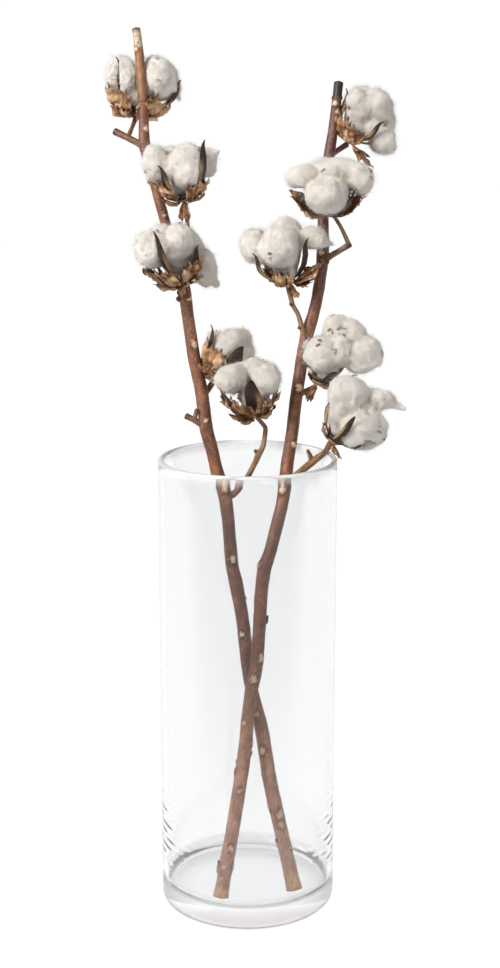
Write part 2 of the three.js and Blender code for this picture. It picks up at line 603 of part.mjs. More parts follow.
function boxesMeet(one, other) {
  const a = one.boundingBox();
  const b = other.boundingBox();
  return [0, 1, 2].every((k) => a.min[k] <= b.max[k] && b.min[k] <= a.max[k]);
}

// Each piece yields to the pieces that were settled before it, and keeps the clearance to them.
function settle(name, parent, look, make) {
  const yieldTo = (rest, grown) => (boxesMeet(rest, grown) ? rest.subtract(grown) : rest);
  const cut = settled.reduce(yieldTo, make(0));
  settled.push(make(CLEARANCE));
  const geometry = geometryFrom(largestPiece(cut));
  geometry.translate(-parent.position.x, -parent.position.y, -parent.position.z);
  const mesh = new THREE.Mesh(geometry, new THREE.MeshStandardMaterial(look));
  mesh.name = name;
  parent.add(mesh);
}

const vase = new THREE.Mesh(geometryFrom(vaseSolid()), new THREE.MeshStandardMaterial(GLASS));
vase.name = 'vase';
bunch.add(vase);

settle('stem_a', bunch, BARK, (grow) => stemSolid(STEM_A, grow));
settle('stem_b', bunch, BARK, (grow) => stemSolid(STEM_B, grow));

const bollGroups = Object.entries(BOLLS).map(([name, boll]) => {
  const group = new THREE.Group();
  group.position.set(...boll.base);
  bunch.add(group);
  return { name, boll, group };
});

for (const { name, boll, group } of bollGroups) {
  settle(`boll_${name}_burr`, group, BURR, (grow) => burrSolid(boll, grow));
}
for (const { name, boll, group } of bollGroups) {
  settle(`boll_${name}_bracts`, group, BRACT, (grow) => bractsSolid(boll, grow));
}
for (const { name, boll, group } of bollGroups) {
  settle(`boll_${name}_lint`, group, LINT, (grow) => lintSolid(boll, grow));
}

export default bunch;
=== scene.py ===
"""Looks of the cotton stem bunch: glass, bark, lint, burrs and bracts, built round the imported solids.

Tables and lengths are in millimetres in the part's frame, and meshes are made in metres.
"""

import itertools
import math

import bmesh
import bpy
import numpy as np
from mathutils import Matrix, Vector
from mathutils.bvhtree import BVHTree


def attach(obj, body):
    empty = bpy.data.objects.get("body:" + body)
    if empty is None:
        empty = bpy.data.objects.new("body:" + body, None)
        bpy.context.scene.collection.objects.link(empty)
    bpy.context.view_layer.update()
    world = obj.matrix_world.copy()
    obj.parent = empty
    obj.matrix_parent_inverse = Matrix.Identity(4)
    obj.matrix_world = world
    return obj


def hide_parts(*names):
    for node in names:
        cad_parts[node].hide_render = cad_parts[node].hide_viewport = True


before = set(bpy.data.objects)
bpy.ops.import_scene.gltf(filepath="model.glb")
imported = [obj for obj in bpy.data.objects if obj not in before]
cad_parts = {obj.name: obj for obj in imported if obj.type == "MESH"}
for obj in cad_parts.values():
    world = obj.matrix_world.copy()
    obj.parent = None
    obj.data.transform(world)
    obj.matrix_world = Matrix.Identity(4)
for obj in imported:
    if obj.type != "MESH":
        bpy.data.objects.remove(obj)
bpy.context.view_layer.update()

MM = 0.001

# ---- the object's sizes ----

VASE_RADIUS = 76.0
VASE_HEIGHT = 400.0
VASE_WALL = 5.0
VASE_FLOOR = 20.0
VASE_FOOT_ROUND = 10.0
VASE_INNER_ROUND = 7.0
VASE_SIDES = 160
VASE_RIM = 2.5
# Radii of the rings on the flat faces, and how far under the top the wall's even rings end.
FLAT_RINGS = [0, 20, 45]
BELOW_RIM = 10.0
# Chill ripples: their depth, where they begin, where they are full, and the mesh's step among them.
RIPPLE = 0.1
RIPPLE_TOP = 122.0
RIPPLE_FULL = 70.0
RIPPLE_RING = 1.2
# How clear the glass is, how much less so at the rim, and how milky the floor's bend is beside the rim.
CLEAR = 0.99
RIM_MILK = 0.4
BEND_MILK = 0.7
FOOT_TINT = (0.74, 0.71, 0.705)

# The curve through a path's nodes: its tension, and the points on it between two nodes.
CURVE_TENSION = 0.35
CURVE_STEPS = 40
# How a limb is meshed: sides round it and length of a step along it.
STEM_MESH = (32, 1.5)
TWIG_MESH = (18, 0.8)
BUD_MESH = (10, 0.5)
STUB_DARK = 0.7
# The heights between which each kind of bark fades in; low is not a kind of bark but paler bark low in the
# vase, a painted haze of light from the glass in front.
BARK_BANDS = {
    "twig": (366, 390), "low": (230, 110), "tan": (678, 700), "cut": (737, 742), "end": (755.5, 753),
    "cap": (693, 697), "deep": (500, 560),
}

# The dish of a burr stands this far above the base; profiles are lists of radius and height.
BURR_LEVEL = 4.6
BURR_SIDES = 28
BURR_PROFILE = [
    [0.5, 0.9], [3, 0.8], [6, 1.1], [8.2, 2.2], [8.6, 2.4], [8.2, 0.8], [6, -0.6], [3, -0.9], [0.5, -0.9],
]
VALVE_START = 15.0
VALVE_END = 118.0
VALVE_HALF_WIDTH = 4.6
VALVE_CAMBER = 3.0
VALVE_TIP_FLARE = 4.0
VALVE_HOOK = 2.4
VALVE_THICKNESS = 1.5
VALVE_GRID = (30, 13)

# Bracts start this far from the axis. Those longer than LAYERED_LENGTH have crumpled layers by them.
BRACT_ROOT = 4.2
BRACT_STEPS = 14
BRACT_ROWS = 24
TOOTH_COLUMNS = 8
TOOTH_SPREAD = 7.5
LAYERED_LENGTH = 22
CRUMPLE = 6.0
PLEAT = 0.6
CUP_SIDES = 24
CUP_PROFILE = [
    [0.4, 0.1], [2.6, 0.1], [5, 0.7], [6.4, 1.9], [6.8, 3.2], [6.3, 3.2], [5, 2.2], [2.6, 1.6], [0.4, 1.5],
]

LINT_VOXEL = 1.3
LINT_ROUNDS = 11
LINT_DRIFT = 1.3
# Lint is kept this far behind valves and bracts, where it would bulge past them by less than the reach.
LINT_TUCK = 0.8
TUCK_REACH = 9.0
# Lint is kept this far off the stems that pass within reach of the boll's middle.
LIMB_GAP = 0.5
BOLL_MIDDLE = [0, 0, 25]
BOLL_REACH = 75
WISP_BEADS = 15
FIBRES = 5900
FIBRE_WIDTH = 0.075
FIBRE_LENGTH = (2.5, 8.5)
CRUMB_LENGTH = (2.5, 7.0)
CRUMB_WIDTH = (0.4, 1.2)

# Paths are lists of [x, y, z, radius]; the first is the stem's and the twigs grow from it.
# Knots and marks are leaf scars, [height, azimuth, size]; the solids have the knots alone.
# Twig tones go from stem brown, 0, to dry tan, 1, and stubs are the twigs with a dark broken end.
# Buds are [height, azimuth, length, thickness]; tone is how tan and how dark the upper bark is.
STEMS = {
    "stem_a": {
        "path": [
            [40.3, -38.7, 22.7, 7.2], [37.3, -35.5, 35, 6.4], [28.9, -25.4, 72, 6], [19.3, -14.2, 115, 6],
            [12.3, -3, 158, 5.9], [3.9, 6, 190, 5.7], [-0.7, 12.3, 217, 5.9], [-4.8, 21.1, 253, 5.8],
            [-10.5, 28, 283, 6.2], [-14, 32, 297, 5.8], [-17.6, 41.5, 337, 5.7], [-20.8, 46.5, 359, 6.2],
            [-26.5, 50.5, 375, 5.7], [-31.7, 54.9, 396, 5.6], [-36.4, 59.8, 413, 6], [-40.8, 68.8, 445, 5.5],
            [-46.3, 75, 469, 5.4], [-52.6, 85.3, 509, 5.2], [-56, 91, 531, 5.9], [-64.8, 98.7, 562, 4.9],
            [-73, 105.6, 590, 4.7], [-81, 113, 619, 4.6], [-88, 119, 644, 4.7], [-90.6, 122, 655, 5.2],
            [-91.3, 126, 670, 4.5], [-92.2, 131.7, 692, 4.4], [-94, 138, 717, 4.3], [-96.3, 144, 741, 4.1],
            [-98.5, 147.8, 755.5, 3.9],
        ],
        "twigs": [
            [[-90.4, 122, 652, 3.4], [-97, 129, 656, 2.9], [-108, 137, 661, 2.7], [-119, 142, 666, 3.2]],
            [[-106, 136, 661, 2.2], [-103, 147, 669, 1.8], [-99.5, 153, 678, 2.4]],
            [
                [-56, 91, 531, 3], [-52, 97, 548, 2.3], [-52, 99, 578, 1.9], [-53.4, 92, 598, 1.9],
                [-54, 90, 607, 2.6],
            ],
            [[-57, 90, 532, 3.6], [-57.2, 84, 534, 3], [-57, 81, 538.5, 3]],
            [[-41, 69, 439, 3.2], [-36, 76, 443, 2.6], [-31, 81, 450, 2.8]],
            [
                [-21, 46.5, 354, 3.5], [-12, 46, 358, 3], [-1.2, 46, 371, 2.6], [6.5, 48, 385, 2.5],
                [9.7, 48, 393, 3],
                [13.5, 49, 400, 2.3], [15.5, 54, 414, 1.9], [11, 57, 420, 1.8], [7, 58, 425, 2.6],
            ],
            [[9.7, 48, 393, 2.4], [5.5, 46.5, 396.5, 1.6]],
            [[-37, 61, 414, 3], [-47, 58, 421, 2.6], [-55, 58, 425, 2.8]],
            [[-46.5, 58, 421, 2.2], [-44.5, 59, 431, 1.7]],
            [[-56, 91, 527, 2.6], [-62, 86, 522, 2.4]],
            [[30.5, -27, 65, 3], [23.5, -30, 66, 2]],
        ],
        "marks": [
            [89, -60, 4.2], [79, -75, 3.2], [60, -50, 2.2], [172, -95, 2.4], [420, -80, 2.4], [595, -70, 2.2],
        ],
        "knots": [
            [94, 200, 3.8], [142, -110, 3.4], [240, -110, 3.4], [303, -80, 4], [362, -70, 3.8],
            [486, -70, 3.6], [523, -50, 3.4], [668, -60, 3], [736, -130, 3],
        ],
        "twig_tones": [0.1, 0.35, 0.4, 0.7, 0.5, 0.85, 1.0, 0.5, 0.6, 0.5, 0.3],
        "stubs": [0, 6, 7, 8, 9, 10],
        "buds": [
            [58, 160, 3, 1.1], [118, 180, 2.5, 0.9], [196, -30, 3, 1.0], [268, 10, 2.5, 0.9],
            [330, 150, 2, 0.9], [526, 190, 3.5, 1.2],
        ],
        "tone": [1.0, 0.25], "top": 0.8, "seed": 3,
    },
    "stem_b": {
        "path": [
            [-22.8, -54.2, 22.7, 7], [-20.9, -49.7, 36, 6.2], [-17.2, -43.9, 56.5, 6.1],
            [-11.5, -35.2, 88, 6],
            [-4.6, -23.9, 130, 5.9], [0.1, -11.6, 172, 5.8], [3.1, -5.4, 194, 5.7], [6.7, -0.8, 210, 5.9],
            [9.6, 7, 238, 5.7], [12.3, 19.3, 279, 5.8], [15.1, 24.6, 297, 6.1], [19.3, 28.1, 309, 5.7],
            [24, 33.2, 326, 5.6], [30.4, 40.1, 350, 5.6], [33, 45, 366, 6], [34.1, 48.4, 380, 5.6],
            [36.6, 52.7, 396, 5.5], [39.3, 57.8, 412, 5.5], [43.3, 67.4, 445, 5.7], [48.5, 76.4, 477, 5.4],
            [52.1, 80.9, 493, 5.8], [57.4, 85.5, 509, 5.3], [61.3, 90, 526, 5.2], [64.1, 94.6, 542, 5.2],
            [66.1, 99.7, 560, 5.5], [66.5, 108.6, 592, 4.7], [68.8, 117.7, 624, 4.6], [72, 124, 647, 5.1],
            [75.4, 130, 668, 4.4], [78.8, 137, 694, 4.2], [80.5, 141.4, 709.5, 4],
        ],
        "twigs": [
            [[72, 124, 645, 3.2], [79, 133, 649, 2.4], [89, 138, 655, 2.8]],
            [[65.5, 97, 554, 3.4], [72, 92, 560, 2.8], [81, 87, 566, 2.5], [90, 85, 572, 3]],
            [[88, 85, 571, 2.1], [82, 83, 584, 1.6], [75, 83, 595, 1.6], [69, 83, 597.5, 2.5]],
            [
                [51, 78.5, 488, 3.3], [48, 76, 497, 2.6], [44, 77, 511, 2], [39, 78, 520, 2.1],
                [35, 81, 537, 2.6],
            ],
            [[43.5, 68, 441, 3.1], [54, 73, 445, 2.4], [61, 74, 448, 2.8]],
            [
                [33.5, 46, 364, 3.8], [41, 39, 374.5, 3.1], [47, 34, 381, 3], [55.5, 27, 390, 3.4],
                [66, 19, 400.5, 2.5], [70.5, 13, 410, 2.8],
            ],
            [[55.5, 27, 390, 2.6], [53.5, 24.5, 396.5, 2.2], [51, 23.5, 402, 1.4]],
            [[39, 77.5, 519, 1.9], [36.5, 74.5, 521, 1.3]],
            [[47.5, 76, 499, 2], [43.5, 73.5, 500, 1.4]],
            [[65, 95, 556, 2.4], [68.5, 90, 553, 1.6], [71, 88.5, 557, 1]],
        ],
        "marks": [
            [113, -85, 3], [67, -75, 3.4], [52, -110, 2.4], [170, -120, 2.2], [400, -60, 2.6],
            [682, -70, 2.4],
        ],
        "knots": [
            [49, -20, 3.4], [127, 175, 3.6], [150, -5, 3.6], [206, -100, 4], [222, -50, 3.8],
            [300, 180, 3.8], [362, -110, 4], [449, -80, 3.6], [563, -110, 3.2], [690, -110, 3],
        ],
        "twig_tones": [0.1, 0.6, 0.6, 0.85, 0.7, 0.75, 0.8, 0.9, 0.9, 0.9],
        "stubs": [1, 6, 7, 8, 9],
        "buds": [
            [42, 185, 13, 1.7], [134, 170, 3, 1.0], [140, 5, 4, 1.2], [250, 0, 8, 2.0], [468, 10, 3, 0.8],
            [693, 175, 4, 0.9], [694, 10, 3, 0.9],
        ],
        "tone": [0.0, 0.75], "top": 1.0, "seed": 8,
    },
}

# Bolls: base is the pedicel's top and axis the way the boll faces.
# Locks are lobes of lint, [x, y, z, x radius, y radius, z radius] from the base.
# Valves are [azimuth, reach, height, half width where it isn't the usual].
# Bracts are [azimuth, half spread, length, first slope, last slope], with angles in degrees.
# Crumbs are a count and the patch they lie in: x and z from the base, and its radius.
# Sag is how far the outer bract layer hangs, 1 where it isn't given.
BOLLS = {
    "a1": {
        "base": [-99, 153, 678.5], "axis": [0.1, 0.1, 1], "seed": 11, "crumbs": [1, 20, 40, 12],
        "locks": [
            [-11, -5, 33, 14, 13, 20], [20, -4, 33, 18, 15, 20], [-15, 11, 37, 13, 14, 15],
            [8, 16, 36, 15, 13, 16], [29, 6, 26, 11, 12, 13], [2, 3, 17, 13, 12, 13],
        ],
        "valves": [[-30, 13, 47, 3], [-16, 36, 31, 4.6], [62, 26, 38], [130, 25, 40], [214, 23, 45, 3]],
        "bracts": [[-44, 46, 41, -30, 66], [212, 46, 44, -14, 74], [80, 46, 32, -4, 62]],
    },
    "a2": {
        "base": [-54, 90, 607.5], "axis": [-0.12, -0.12, 1], "seed": 23, "crumbs": [2, 14, 46, 8],
        "locks": [
            [2, -9, 30, 17, 14, 19], [-25, -1, 32, 13, 13, 17], [15, 9, 33, 13, 12, 13],
            [-14, 13, 34, 12, 12, 12], [2, 7, 38, 14, 11, 10], [17, 8, 40, 12, 8, 6], [-2, 2, 17, 13, 12, 13],
        ],
        "valves": [[-132, 24, 34, 4], [-32, 25, 50, 4.6], [170, 28, 36], [100, 24, 40], [42, 23, 40]],
        "bracts": [[204, 40, 42, 4, 68], [-102, 34, 20, -50, -84], [-38, 44, 34, 2, 74], [78, 42, 30, 6, 70]],
    },
    "a3": {
        "base": [-57, 81, 539], "axis": [-0.26, -0.3, 1], "seed": 37, "crumbs": [2, 4, 46, 8],
        "locks": [
            [-24, -15, 29, 17, 15, 16], [-3, -14, 36, 16, 14, 17], [20, -1, 12, 11, 9, 17],
            [-17, 4, 36, 14, 12, 15], [3, 3, 33, 14, 12, 15], [-4, -5, 17, 12, 12, 13],
        ],
        "valves": [[-108, 25, 58, 3.4], [-24, 22, 30, 3.6], [186, 27, 34], [138, 17, 34], [52, 20, 34]],
        "bracts": [
            [222, 50, 46, -4, 72], [-46, 36, 42, 0, 78], [46, 34, 28, 4, 66], [-104, 20, 15, -50, -60],
        ],
    },
    "a4": {
        "base": [-31, 81, 451], "axis": [0.42, 0.05, 1], "seed": 41, "crumbs": [0, 10, 30, 10],
        "locks": [
            [16, -1, 33, 15, 14, 15], [25, 4, 22, 12, 13, 13], [5, 7, 32, 11, 12, 13],
            [22, 8, 32, 12, 12, 13], [5, 2, 15, 10, 10, 11],
        ],
        "valves": [[-62, 22, 38, 6.5], [200, 18, 43], [122, 22, 38], [54, 23, 34], [-16, 24, 24]],
        "bracts": [[238, 42, 46, 22, 84], [-40, 32, 28, 6, 70], [86, 46, 32, 10, 76]],
    },
    "a5": {
        "base": [7, 58, 426], "axis": [-0.08, -0.24, 1], "seed": 59, "crumbs": [3, 18, 20, 10],
        "locks": [
            [-21, -8, 32, 14, 13, 14], [10, -10, 33, 11, 12, 15], [0, 6, 38, 14, 11, 12],
            [-14, 8, 32, 13, 11, 13], [11, 6, 31, 11, 11, 13], [-3, -2, 16, 12, 11, 12],
        ],
        "valves": [[-92, 24, 41, 7], [182, 28, 25], [-6, 21, 30], [66, 22, 38], [122, 23, 38]],
        "bracts": [[222, 50, 45, -6, 70], [-42, 46, 34, 6, 80], [94, 44, 32, 2, 64]],
    },
    "b1": {
        "base": [89, 138, 656], "axis": [0.5, 0, 0.86], "sag": 0.4, "seed": 61, "crumbs": [2, 2, 36, 6],
        "locks": [
            [9, -1, 31, 13, 14, 16], [24, 0, 32, 15, 14, 16], [13, 8, 39, 13, 11, 10],
            [31, -3, 1, 13, 12, 13],
            [21, -3, 12, 10, 10, 11], [31, 9, 19, 12, 12, 13], [9, 1, 15, 11, 10, 11],
        ],
        "valves": [[-52, 24, 28, 3], [184, 22, 36], [116, 22, 36], [56, 22, 32], [-10, 26, 22, 3]],
        "bracts": [[250, 44, 36, -18, 68], [-38, 30, 35, -14, -20], [84, 46, 32, 4, 70]],
    },
    "b2": {
        "base": [69, 83, 598.5], "axis": [0, -0.6, 0.8], "sag": 0.1, "seed": 73, "crumbs": [5, 34, 30, 8],
        "locks": [
            [-2, -26, 17, 20, 15, 16], [4, -8, 38, 21, 12, 10], [-22, -12, 31, 13, 12, 11],
            [27, -11, 30, 12, 12, 14], [0, -13, 27, 15, 11, 12], [0, -9, 13, 12, 10, 11],
        ],
        "valves": [[212, 27, 34, 4], [-32, 24, 36, 4], [38, 25, 34], [138, 25, 34]],
        "bracts": [[200, 38, 46, 8, 60], [-22, 36, 44, 10, 62], [84, 44, 30, 2, 60]],
    },
    "b3": {
        "base": [35, 81, 538], "axis": [-0.12, -0.26, 1], "seed": 83, "crumbs": [2, -14, 30, 6],
        "locks": [
            [-8, -16, 33, 19, 14, 20], [-29, 0, 33, 14, 13, 17], [-2, 6, 48, 13, 11, 9],
            [21, 1, 38, 14, 12, 11], [-3, 0, 32, 15, 12, 15], [-2, -4, 16, 12, 11, 13],
        ],
        "valves": [[214, 30, 34, 4], [-34, 23, 41, 4], [58, 24, 36], [128, 24, 36]],
        "bracts": [
            [-108, 36, 30, -8, 84], [-14, 38, 38, 2, 44], [140, 44, 32, 6, 66], [-62, 18, 18, -34, -60],
        ],
    },
    "b4": {
        "base": [61, 74, 449], "axis": [0.42, 0.12, 1], "seed": 97, "crumbs": [14, 14, 46, 17],
        "locks": [
            [2, -5, 27, 16, 15, 17], [15, 5, 51, 12, 11, 10], [30, 1, 47, 12, 12, 10],
            [38, -1, 27, 18, 14, 18],
            [14, 10, 32, 15, 12, 16], [20, -5, 31, 13, 12, 15], [7, 0, 13, 11, 11, 10],
        ],
        "valves": [[-60, 18, 14, 4], [206, 14, 28], [112, 23, 38], [50, 24, 34], [-10, 26, 18]],
        "bracts": [
            [-108, 25, 22, -56, -78], [164, 32, 12, 10, 64], [72, 44, 30, 4, 60], [-26, 32, 22, 0, 30],
        ],
    },
    "b5": {
        "base": [70.5, 13, 410.5], "axis": [0.6, -0.1, 0.78], "seed": 101, "crumbs": [5, 34, 14, 14],
        "locks": [
            [14, -2, 40, 20, 15, 18], [27, -7, 13, 20, 15, 19], [42, 2, 36, 14, 9, 10],
            [20, 9, 27, 16, 12, 16],
            [6, -1, 24, 11, 11, 13], [9, 0, 12, 10, 10, 9],
        ],
        "valves": [[-96, 22, 33, 2.8], [176, 22, 36], [100, 22, 36], [34, 23, 32], [-30, 25, 22, 3]],
        "bracts": [[-60, 24, 20, -16, -12], [190, 34, 17, 6, 56], [76, 42, 28, 0, 56]],
    },
}

# Wisps of drawn-out lint: a start and a tip from the base, and the half thickness at each.
WISPS = {
    "a2": [[16, 4, 36, 30, 6, 43, 5, 1.2]],
    "a3": [[16, -2, 20, 30, -3, -2, 9, 3.5]],
    "b3": [[20, 2, 38, 38, 2, 33, 9, 3]],
    "b5": [[36, 2, 38, 62, 2, 29, 10, 1.6]],
    "a1": [[28, 6, 24, 38, 6, 14, 6, 2]],
}

# ---- noise and mesh helpers ----

HASH_AXES = np.array([374761393, 668265263, 915488749])
HASH_STIR = 1274126177
HASH_MASK = 0x7FFFFFFF


def lattice(points, seed):
    """Smooth noise from -1 to 1, one value a point."""
    cell = np.floor(points).astype(np.int64)
    part = points - cell
    ease = part * part * (3 - 2 * part)
    total = np.zeros(len(points))
    for corner in itertools.product((0, 1), repeat=3):
        mixed = ((cell + corner) @ HASH_AXES + seed * HASH_STIR) & HASH_MASK
        mixed = ((mixed ^ (mixed >> 13)) * HASH_STIR) & HASH_MASK
        mixed = mixed ^ (mixed >> 16)
        weight = np.prod(np.where(corner, ease, 1 - ease), axis=1)
        total += ((mixed & 0xFFFF) / 32767.5 - 1) * weight
    return total


def lattice_vector(points, seed):
    return np.stack([lattice(points, seed + k) for k in range(3)], 1)


def rough(points, size, seed, octaves=3):
    """Layered noise whose largest lumps are about size across."""
    total, scale, share = 0, 1 / size, 1.0
    for k in range(octaves):
        total = total + share * lattice(points * scale + 17.3 * k, seed + k)
        scale, share = scale * 2.1, share * 0.5
    return total


def chance(seed):
    """A number from 0 to 1, the same each time for one seed."""
    wave = math.sin(seed * 12.9898 + 78.233) * 43758.5453
    return wave - math.floor(wave)


def smoothstep(low, high, x):
    t = np.clip((x - low) / (high - low), 0, 1)
    return t * t * (3 - 2 * t)


def unit(v):
    return v / np.maximum(np.linalg.norm(v, axis=-1, keepdims=True), 1e-9)


def turn_in(sides):
    return np.linspace(0, 2 * math.pi, sides, endpoint=False)


def compass(azimuth):
    """The level direction at an azimuth in degrees."""
    a = math.radians(azimuth)
    return np.array([math.cos(a), math.sin(a), 0])


class Shape:
    """Vertices in millimetres, faces, and named values at the vertices, gathered from several parts."""

    def __init__(self):
        self.points, self.faces, self.values, self.count = [], [], {}, 0

    def add(self, points, faces, **values):
        points = np.asarray(points, float)
        self.faces += [tuple(int(i) + self.count for i in f) for f in faces]
        for name, value in values.items():
            whole = np.broadcast_to(np.asarray(value, float), (len(points),) + np.shape(value)[1:])
            self.values.setdefault(name, []).append((self.count, whole))
        self.points.append(points)
        self.count += len(points)

    def mesh(self, name):
        data = bpy.data.meshes.new(name)
        data.from_pydata((np.vstack(self.points) * MM).tolist(), [], self.faces)
        for label, parts in self.values.items():
            vector = parts[0][1].ndim == 2
            full = np.zeros((self.count, 3) if vector else self.count, np.float32)
            for start, part in parts:
                full[start : start + len(part)] = part
            attribute = data.attributes.new(label, "FLOAT_VECTOR" if vector else "FLOAT", "POINT")
            attribute.data.foreach_set("vector" if vector else "value", full.ravel())
        data.validate()
        data.polygons.foreach_set("use_smooth", [True] * len(data.polygons))
        data.update()
        return data


def placed(name, data):
    """A new object in the scene that holds a mesh, light or camera."""
    made = bpy.data.objects.new(name, data)
    bpy.context.scene.collection.objects.link(made)
    return made


def piece(name, shape, material, node):
    data = shape.mesh(name)
    data.materials.append(material)
    made = placed(name, data)
    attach(made, "root")
    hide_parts(node)


def grid_faces(rows, columns, closed=False):
    """Quads of a grid of points stored row by row; closed joins the last column to the first."""
    faces = []
    for i, j in itertools.product(range(rows - 1), range(columns if closed else columns - 1)):
        here, there = i * columns + j, i * columns + (j + 1) % columns
        faces.append((here, there, there + columns, here + columns))
    return faces


def capped_faces(rows, columns):
    """Quads of a closed tube, and fans from its end rings to the two points stored after them."""
    faces = grid_faces(rows, columns, True)
    first, last, last_row = rows * columns, rows * columns + 1, (rows - 1) * columns
    for j in range(columns):
        k = (j + 1) % columns
        faces += [(first, k, j), (last, last_row + j, last_row + k)]
    return faces


def lathe(profile, sides):
    """Rings of points round the z axis, one for each radius and height."""
    profile, around = np.asarray(profile, float), turn_in(sides)
    radius, height = profile[:, 0], profile[:, 1:2]
    rings = [np.outer(radius, np.cos(around)), np.outer(radius, np.sin(around)), np.repeat(height, sides, 1)]
    return np.stack(rings, 2).reshape(-1, 3)


# ---- materials ----


class Nodes:
    """Short calls for building a node tree."""

    def __init__(self, tree):
        self.tree = tree

    def node(self, kind, **settings):
        made = self.tree.nodes.new(kind)
        for key, value in settings.items():
            if key in made.inputs:
                made.inputs[key].default_value = value
            else:
                setattr(made, key, value)
        return made

    def link(self, source, target):
        self.tree.links.new(source, target)

    def feed(self, value, socket):
        """Links a node's output to the socket, or sets the socket to a number or colour."""
        if isinstance(value, bpy.types.NodeSocket):
            self.link(value, socket)
        elif isinstance(value, (int, float)):
            socket.default_value = value
        else:
            socket.default_value = (*value, 1)

    def place(self, stretch=(1, 1, 1), attribute=None):
        """A position in millimetres: the mesh's own, or a vector value stored at its vertices."""
        if attribute:
            start = self.node("ShaderNodeAttribute", attribute_name=attribute).outputs["Vector"]
            scale = stretch
        else:
            start = self.node("ShaderNodeTexCoord").outputs["Object"]
            scale = [1000 * s for s in stretch]
        mapping = self.node("ShaderNodeMapping", Scale=scale)
        self.link(start, mapping.inputs["Vector"])
        return mapping.outputs["Vector"]

    def noise(self, place, size, detail=4.0, roughness=0.6, distortion=0.0):
        made = self.node(
            "ShaderNodeTexNoise", Scale=1 / size, Detail=detail, Roughness=roughness, Distortion=distortion
        )
        self.link(place, made.inputs["Vector"])
        return made.outputs["Fac"]

    def value(self, name):
        return self.node("ShaderNodeAttribute", attribute_name=name).outputs["Fac"]

    def ramp(self, source, *stops):
        made = self.node("ShaderNodeValToRGB")
        elements = made.color_ramp.elements
        while len(elements) < len(stops):
            elements.new(0.5)
        for element, (at, colour) in zip(elements, stops):
            element.position, element.color = at, (*colour, 1)
        self.link(source, made.inputs["Fac"])
        return made.outputs["Color"]

    def tint(self, source, *stops):
        """A ramp whose stops are a position and a colour in display values."""
        return self.ramp(source, *[(at, srgb(*colour)) for at, *colour in stops])

    def mix(self, factor, a, b, blend="MIX"):
        made = self.node("ShaderNodeMix", data_type="RGBA", blend_type=blend)
        for index, value in ((0, factor), (6, a), (7, b)):
            self.feed(value, made.inputs[index])
        return made.outputs[2]

    def layers(self, base, **colours):
        """The base under each colour in turn, laid on where the value of that name says."""
        for name, colour in colours.items():
            base = self.mix(self.value(name), base, colour)
        return base

    def math(self, operation, *terms):
        made = self.node("ShaderNodeMath", operation=operation)
        for term, socket in zip(terms, made.inputs):
            self.feed(term, socket)
        return made.outputs[0]


class Material(Nodes):
    """A material's tree round its one shader."""

    def __init__(self, name):
        self.material = bpy.data.materials.new(name)
        self.material.use_nodes = True
        super().__init__(self.material.node_tree)
        self.shader = self.tree.nodes["Principled BSDF"]

    def bump(self, height, distance, strength=1.0, normal=None):
        made = self.node("ShaderNodeBump", Strength=strength, Distance=distance * MM)
        self.link(height, made.inputs["Height"])
        if normal:
            self.link(normal, made.inputs["Normal"])
        return made.outputs["Normal"]

    def finish(self, colour, normal, roughness, **settings):
        inputs = self.shader.inputs
        self.link(colour, inputs["Base Color"])
        self.feed(roughness, inputs["Roughness"])
        if normal:
            self.link(normal, inputs["Normal"])
        for key, value in settings.items():
            inputs[key.replace("_", " ")].default_value = value
        return self.material


def srgb(*colour):
    """A linear colour from 0 to 255 display values."""
    parts = [c / 255 for c in colour]
    return tuple(p / 12.92 if p <= 0.04045 else ((p + 0.055) / 1.055) ** 2.4 for p in parts)


def grey(level):
    return (level, level, level)


def bark_material():
    look = Material("bark")
    along, broad, even = (look.place((1, 1, z), "bark") for z in (0.2, 0.5, 1))
    fine = look.noise(along, 0.8, 6, 0.7)
    patches = look.noise(broad, 9, 5, 0.6, 0.5)
    base = look.tint(
        patches, (0.3, 82, 46, 33), (0.45, 108, 64, 43), (0.6, 132, 82, 54), (0.76, 172, 118, 78)
    )
    base = look.layers(
        base,
        deep=look.mix(patches, srgb(48, 27, 25), srgb(94, 58, 49)),
        tan=look.tint(patches, (0.35, 108, 68, 44), (0.65, 160, 112, 72)),
        twig=look.tint(look.noise(along, 2.4, 5, 0.65), (0.35, 96, 68, 46), (0.65, 172, 138, 98)),
        # Paler bark low in the vase: a painted haze of light from the glass in front of the stems.
        low=look.tint(look.noise(broad, 6, 5, 0.6), (0.35, 168, 119, 98), (0.65, 213, 165, 137)),
    )
    streaks = look.ramp(fine, (0.36, (0.42, 0.38, 0.36)), (0.6, (1.22, 1.2, 1.18)))
    base = look.mix(0.6, base, streaks, "MULTIPLY")
    specks = look.ramp(look.noise(even, 1.1, 2, 0.5), (0.62, grey(0)), (0.68, grey(1)))
    base = look.mix(look.math("MULTIPLY", specks, 0.5), base, srgb(212, 172, 142))
    grain = look.noise(look.place((1, 1, 0.1), "bark"), 0.7, 4, 0.7)
    base = look.layers(
        base,
        cut=look.tint(look.noise(even, 1.3, 4, 0.7), (0.38, 120, 96, 74), (0.55, 206, 186, 160)),
        cap=look.mix(patches, srgb(22, 15, 15), srgb(48, 32, 30)),
        rind=srgb(58, 34, 28),
        scar=look.tint(look.noise(even, 1.0, 4, 0.7), (0.34, 170, 116, 80), (0.52, 246, 216, 180)),
        wood=look.tint(grain, (0.35, 172, 118, 76), (0.65, 240, 202, 154)),
        dark=srgb(44, 33, 31),
    )
    normal = look.bump(look.noise(along, 2.6, 5, 0.6, 0.6), 0.35, 0.8)
    normal = look.bump(fine, 0.35, 0.9, normal)
    normal = look.bump(specks, 0.25, 0.6, normal)
    return look.finish(base, normal, look.math("MULTIPLY_ADD", fine, -0.3, 0.58), Specular_IOR_Level=0.45)


